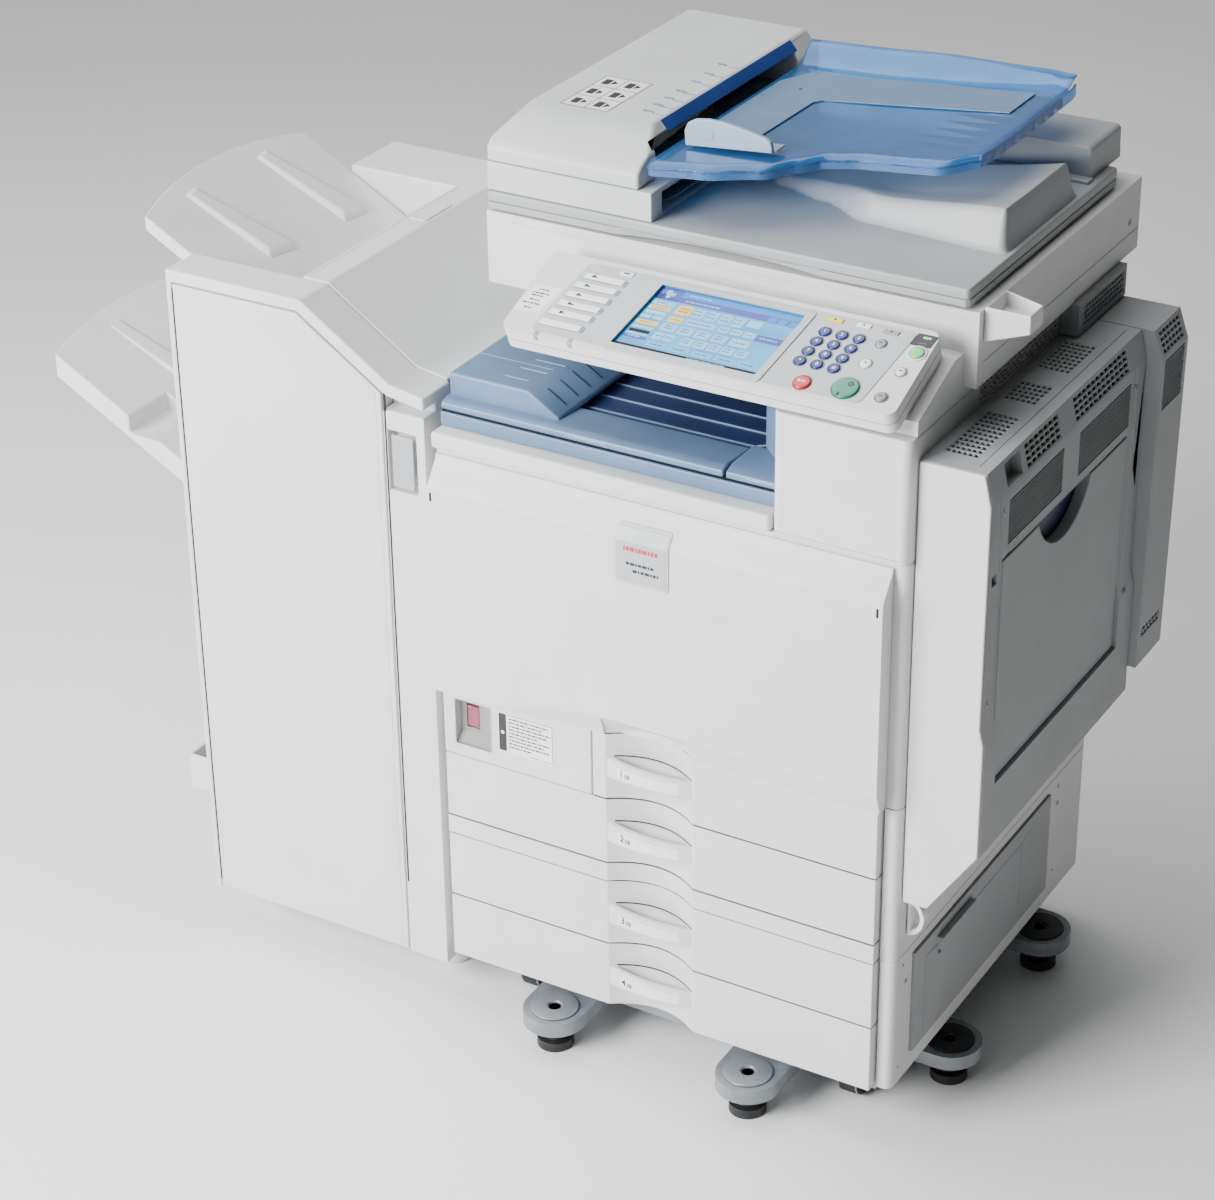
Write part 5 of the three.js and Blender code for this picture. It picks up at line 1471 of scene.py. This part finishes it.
def original_tray():
    body = "original_tray"

    def skin(drop):
        def point(u, v):
            front, rear = level(u, TRAY_FRONT), level(u, TRAY_REAR)
            y = front + (rear - front) * v
            lift = 22 * eased(y, rear - 34, rear) * (1 - 0.5 * eased(u, 60, 240))
            lip = 5 * (1 - eased(y, front, front + 9))
            return u, y, tray_level(u) + lift - lip - drop
        return point

    us = steps(-89, 240, 40)
    vs = sorted({*steps(0, 0.05, 4), *steps(0.05, 0.86, 12), *steps(0.86, 1, 8)})
    sheet = piece("tray_sheet", field(us, vs, skin(0), skin(2.4)), body, clear_blue, 0)
    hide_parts("original_tray")

    front_rim = [(u, level(u, TRAY_FRONT)) for u in steps(-89, 240, 44)]
    rings = []
    for u, y in front_rim:
        z = tray_level(u) - 5
        rings.append([(u, y, z), (u, y, z - 10), (u, y + 2.2, z - 10), (u, y + 2.2, z)])
    piece("tray_front_rim", loft(rings), body, clear_blue, 0.4)
    edge = [(240, level(240, TRAY_FRONT)), (243, 290), (244, 400), (243, 495), (240, level(240, TRAY_REAR))]
    right = [[(x, y, 1096), (x, y, 1083), (x - 2.4, y, 1083), (x - 2.4, y, 1096)] for x, y in edge]
    piece("tray_end_rim", loft(right), body, clear_blue, 0.4)
    for i, y in enumerate((288, 314, 339, 364, 389, 415, 440, 465)):
        tip = 148 + 1.2 * i
        rib = [(tip, y, tray_level(tip) - 2.4), (242, y - 2.8, 1093), (242, y + 2.8, 1093)]
        low = [(tip, y, tray_level(tip) - 3.0), (242, y - 2.8, 1082), (242, y + 2.8, 1082)]
        piece(f"tray_rib_{i}", loft([low, rib]), body, deep_blue, 0)

    plan = [(-82, 262), (-14, 250), (-12, 375), (-4, 384), (211, 399), (211, 468), (-62, 468), (-82, 430)]
    guide = [[(x, y, tray_level(x) + h) for x, y in plan] for h in (0.4, 1.6)]
    piece("tray_guide", loft(guide), body, tray_blue, 0.3)
    over = lambda u, v, w: (u, v, tray_level(u) + 1.55 + w)
    panel = [[over(u, v, w) for u, v in ((-2, 402), (96, 408), (96, 452), (-2, 448))] for w in (0, 0.2)]
    piece("tray_label", loft(panel), body, rack_mist, 0)
    rows = [(58, 418 + 4.4 * i, 32 - 2 * (i % 3)) for i in range(7)]
    piece(
        "tray_label_print", print_rows(rows, lambda u, v, w: over(u, v, w + 0.2), 1.6), body, ink_black,
        0
    )
    badge = moved(turned("z", (12, 432), [(9, 0.1), (9, 0.45)], 24), over)
    piece("tray_label_badge", badge, body, ink_black, 0)
    page = [[over(u, v, w) for u, v in ((27, 420), (47, 424), (44, 438), (25, 434))] for w in (0.15, 0.5)]
    piece("tray_label_page", loft(page), body, label_white, 0)
    # Dark discs for the guide's holes: painted shade for their depth.
    dots = [
        moved(turned("z", spot_xy, [(2.2, 0), (2.2, 0.3)], 16), over)
        for spot_xy in ((118, 436), (168, 438), (192, 440), (-46, 410))
    ]
    piece("tray_guide_holes", together(*dots), body, dark_and_painted_shade, 0)


def fence():
    """The sliding paper fence: a wall with a rounded nose, a foot under the paper and a round mark."""
    body = "fence_front"
    outline = [
        (-74, 1073), (-75, 1090), (-71, 1099), (-62, 1104), (-46, 1106.5), (-26, 1106), (0, 1102),
        (20, 1098)
    ]
    outline += [(28, 1094), (30, 1088), (30, 1082)]
    wall = piece("fence_wall", prism("y", outline, 196, 202), body, guide_blue, 1.4, 3)
    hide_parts("fence_front")
    rings = [
        [(x, 201, z), (x, 222, z), (x, 222, z + 2), (x, 201, z + 2)] for x,
        z in ((-72, 1074.2), (33, 1082.6))
    ]
    piece("fence_foot", loft(rings), body, guide_blue, 0.6)
    mark = [(8, 196.2), (8, 195.5), (7, 195.5), (6.6, 195.9)]
    piece("fence_mark", turned("y", (-47, 1091), mark, 28), body, guide_blue, 0)


# ---- Finisher -------------------------------------------------------------------------------------


def finisher():
    body = "main_unit"
    finish_node("finisher_body", cover_white, 2.4, 3)
    finish_node("finisher_door", cover_white, 1.6, 3)
    outer = [(-629, 58), (-363, 58), (-363, 792), (-452, 858), (-629, 858)]
    inner = [(-613, 74), (-379, 74), (-379, 783), (-457, 842), (-613, 842)]
    rings = [[(x, y, z) for x, z in ring] for y, ring in ((12.0, outer), (11.2, outer), (8.4, inner))]
    piece("finisher_door_relief", loft(rings), "finisher_door", cover_white, 1.4, 3)
    grip = block(-345, -317, 12.2, 14, 682, 746)
    piece("column_grip_back", grip, body, cover_grey, 0.6)
    piece("column_slot", block(-352.6, -350.6, 11.0, 13, 150, 795), body, dark_and_painted_shade, 0.2)
    piece("finisher_strip", block(-637.6, -636.2, 11.0, 13, 60, 862), body, dark_and_painted_shade, 0.2)
    finish_node("finisher_hood", cover_white, 3.0, 4)
    tab = [[(x, y, 885 + z) for x, y in rounded(-486, 270, -462, 330, 6)] for z in (-0.5, 1.6)]
    piece("hood_tab", loft(tab), "finisher_hood", cover_white, 0.8, 3)
    hood_line = block(-492, -488, 70, 384, 884.4, 885.6)
    piece("hood_lip", hood_line, "finisher_hood", cover_white, 0.6, 2)
    rear_seams = [
        block(-640, -306, 478.6, 479.4, 300, 301), block(-640, -306, 478.6, 479.4, 772, 773),
        block(-474, -473, 478.6, 479.4, 52, 772),
    ]
    piece("finisher_rear_seams", together(*rear_seams), body, dark_and_painted_shade, 0)
    for i, (x, z) in enumerate(
        ((-632, 66), (-312, 66), (-632, 286), (-312, 286), (-632, 756), (-312, 756))
    ):
        screw_head(f"finisher_rear_screw_{i}", "y", (x, z), 479, 1, body)
    grille("finisher_rear_vent", body, on_rear(484.2), (-600, -500, 640, 700), (10, 10), (3, 2.2), 0.0)


def stacking_trays():
    slope = lambda x: 915.3 + (-714 - x) * 0.5543
    finish_node("upper_tray", cover_white, 2.6, 4)
    for i, (left, right, deep) in enumerate(
        (((-714, 284), (-594, 297), (-590, 342)), ((-714, 143), (-601, 154), (-595, 201)))
    ):
        (x0, y0), (x1, y1), (x2, y2) = left, right, deep
        low = [
            (x0, y0, slope(x0) - 1), (x1, y1, slope(x1) - 1), (x2, y2, slope(x2) - 1),
            (x0 - 4, y0 + 26, slope(x0 - 4) - 1)
        ]
        high = [
            (x0 + 6, y0 + 4, slope(x0) + 1), (x1 - 8, y1 + 5, slope(x1) + 12),
            (x2 - 8, y2 - 6, slope(x2) + 12), (x0 + 4, y0 + 20, slope(x0) + 1)
        ]
        piece(f"upper_tray_rib_{i}", loft([low, high]), "main_unit", cover_white, 2.2, 4)
    lower = lambda x: 712.3 + (-864 - x) * 0.5543
    finish_node("shift_tray", cover_white, 2.6, 4)
    for i, y in enumerate((160, 300)):
        low = [
            (-866, y, lower(-866) - 1), (-700, y + 14, lower(-700) - 1),
            (-696, y + 58, lower(-696) - 1), (-868, y + 26, lower(-868) - 1)
        ]
        high = [
            (-858, y + 4, lower(-858) + 1), (-708, y + 19, lower(-708) + 8),
            (-704, y + 50, lower(-704) + 8), (-860, y + 20, lower(-860) + 1)
        ]
        piece(f"shift_tray_rib_{i}", loft([low, high]), "shift_tray", cover_white, 2.2, 4)
    finish_node("booklet_tray", cover_white, 2.2, 3)
    for i, y in enumerate((110, 215, 320)):
        rib = [(-694, 176), (-520, 205), (-520, 208), (-694, 179)]
        piece(f"booklet_rib_{i}", prism("y", rib, y, y + 6), "booklet_tray", cover_white, 0.8)


# ---- Behind the front door ------------------------------------------------------------------------


def inside():
    finish_node("drum_drawer", nylon_black, 2.0)
    finish_node("fusing_unit", cover_grey, 2.0)
    finish_node("transfer_roller", rubber, 1.0)
    for colour in toner:
        finish_node("toner_bottle_" + colour, toner[colour], 1.6)
        (left, front, low), (right, _, high) = edges("toner_bottle_" + colour)
        middle = (left + right) / 2
        knob = rect(middle - 4, low + 12, middle + 4, high - 12)
        piece(
            f"bottle_knob_{colour}", prism("y", knob, front - 6, front + 0.5), "main_unit",
            toner[colour], 1.2
        )
    x0, y0, z0 = edges("drum_drawer")[0]
    x1 = edges("drum_drawer")[1][0]
    ribs = [
        block(x, x + 3, y0 + 12, y0 + 14.6, z0 + 16, z0 + 92)
        for x in range(int(x0) + 24, int(x1) - 20, 22)
    ]
    piece("drum_drawer_ribs", together(*ribs), "main_unit", nylon_black, 0.5)
    signs = together(
        *[
            block(x0 + 40 + 108 * i, x0 + 64 + 108 * i, y0 + 13, y0 + 14.3, z0 + 150, z0 + 162)
            for i in range(4)
        ]
    )
    piece("drum_drawer_signs", signs, "main_unit", label_white, 0.3)


# ---- Rear -----------------------------------------------------------------------------------------


def rear():
    x0, _, z0 = edges("rear_cover")[0]
    x1, face, z1 = edges("rear_cover")[1]
    wall = on_rear(face)
    cuts = [
        grille(
            "rear_vent_upper", "main_unit", wall, (x0 + 60, x0 + 220, z1 - 90, z1 - 30), (12, 8),
            (3, 2.4), 0.5
        ),
        grille(
            "rear_vent_lower", "main_unit", wall, (x1 - 220, x1 - 70, z0 + 60, z0 + 110), (12, 7),
            (3, 2.4), 0.5
        ),
    ]
    carved("rear_panel", "rear_cover", cover_white, together(*cuts), 1.2)
    corners = [(x, z) for x in (x0 + 12, (x0 + x1) / 2, x1 - 12) for z in (z0 + 12, (z0 + z1) / 2, z1 - 12)]
    for i, (x, z) in enumerate(corners):
        screw_head(f"rear_screw_{i}", "y", (x, z), face, 1, "main_unit")
    inlet = together(
        *[
            flat_box(on_rear(551), *box)
            for box in (
                (-250, -206, 262, 266, -1, 6), (-250, -206, 234, 238, -1, 6),
                (-250, -246, 234, 266, -1, 6), (-210, -206, 234, 266, -1, 6)
            )
        ]
    )
    piece("power_inlet_frame", inlet, "main_unit", nylon_black, 0.6)
    pins = [flat_box(on_rear(551), x - 1.4, x + 1.4, 246, 254, 0, 4.5) for x in (-236, -228, -220)]
    piece("power_inlet_pins", together(*pins), "main_unit", steel, 0.2)
    piece(
        "rating_plate", flat_box(wall, x1 - 150, x1 - 60, z1 - 80, z1 - 40, -0.1, 0.3), "main_unit",
        label_white, 0
    )
    rows = [(x1 - 145, z1 - 48 - 5 * i, 70 - 9 * (i % 3)) for i in range(6)]
    piece(
        "rating_print", print_rows(rows, lambda u, v, w: wall(u, v, w + 0.25), 1.4), "main_unit",
        ink_black, 0
    )
    finish_node("engine_housing", cover_white, 2.4)


# ---- Stage and camera -----------------------------------------------------------------------------


def stage():
    floor = bpy.data.objects.new("floor", bpy.data.meshes.new("floor"))
    half = 16.0  # metres
    floor.data.from_pydata(
        [(-half, -half, 0), (half, -half, 0), (half, half, 0), (-half, half, 0)], [], [(0, 1, 2, 3)]
    )
    bpy.context.scene.collection.objects.link(floor)
    floor.data.materials.append(
        moulded("studio_paper", "fbfbfa", "f9f9f8", grain=3, cloud=900, gloss=(0.6, 0.7))
    )

    # The room is bright behind the left shoulder and falls off to the machine's right
    world = bpy.data.worlds.new("studio")
    bpy.context.scene.world = world
    world.use_nodes = True
    tree = world.node_tree
    way = add(tree, "SeparateXYZ", {0: add(tree, "TexCoord").outputs["Generated"]})
    fall = add(
        tree, "MapRange", {0: way.outputs["X"], 1: -0.6, 2: 0.75, 3: 0.6, 4: 0.0},
        interpolation_type="SMOOTHSTEP"
    )
    background = tree.nodes["Background"]
    background.inputs["Color"].default_value = (0.96, 0.98, 1.0, 1.0)
    tree.links.new(fall.outputs[0], background.inputs["Strength"])

    # (name, place, aim, size in metres, watts)
    softboxes = (
        ("key_softbox", (-1500, -2700, 1900), (-50, 200, 520), 1.9, 290),
        ("top_softbox", (-900, 300, 3300), (-500, 200, 0), 2.6, 75),
    )
    for name, place, aim, size, watts in softboxes:
        lamp = bpy.data.objects.new(name, bpy.data.lights.new(name, "AREA"))
        lamp.data.shape = "SQUARE"
        lamp.data.size = size
        lamp.data.energy = watts
        lamp.location = at(*place)
        lamp.rotation_euler = (at(*aim) - at(*place)).to_track_quat("-Z", "Y").to_euler()
        bpy.context.scene.collection.objects.link(lamp)


def camera():
    yaw, pitch, roll = 0.536, -0.501, -0.014  # radians
    ahead = Vector((-math.sin(yaw) * math.cos(pitch), math.cos(yaw) * math.cos(pitch), math.sin(pitch)))
    level = Vector((math.cos(yaw), math.sin(yaw), 0))
    upright = level.cross(ahead)
    across = level * math.cos(roll) + upright * math.sin(roll)
    up = upright * math.cos(roll) - level * math.sin(roll)
    view = bpy.data.objects.new("camera", bpy.data.cameras.new("camera"))
    view.data.lens = 93.44
    view.data.sensor_width = 36
    view.data.clip_end = 50
    turn = Matrix((across, up, -ahead)).transposed()
    view.matrix_world = Matrix.Translation(at(1472.916, -2583.246, 2263.11)) @ turn.to_4x4()
    bpy.context.scene.collection.objects.link(view)
    bpy.context.scene.camera = view


stage()
camera()

drawers()
drawer_gaps()
front_door()
switch_panel()
output_space()
operation_panel()
right_side()
cabinet_sides()
scanner()
platen_cover()
feeder()
original_tray()
fence()
finisher()
stacking_trays()
inside()
rear()
for node, obj in nodes.items():
    if not obj.hide_render and not obj.modifiers:
        finish_node(node, cover_white, 1.0)
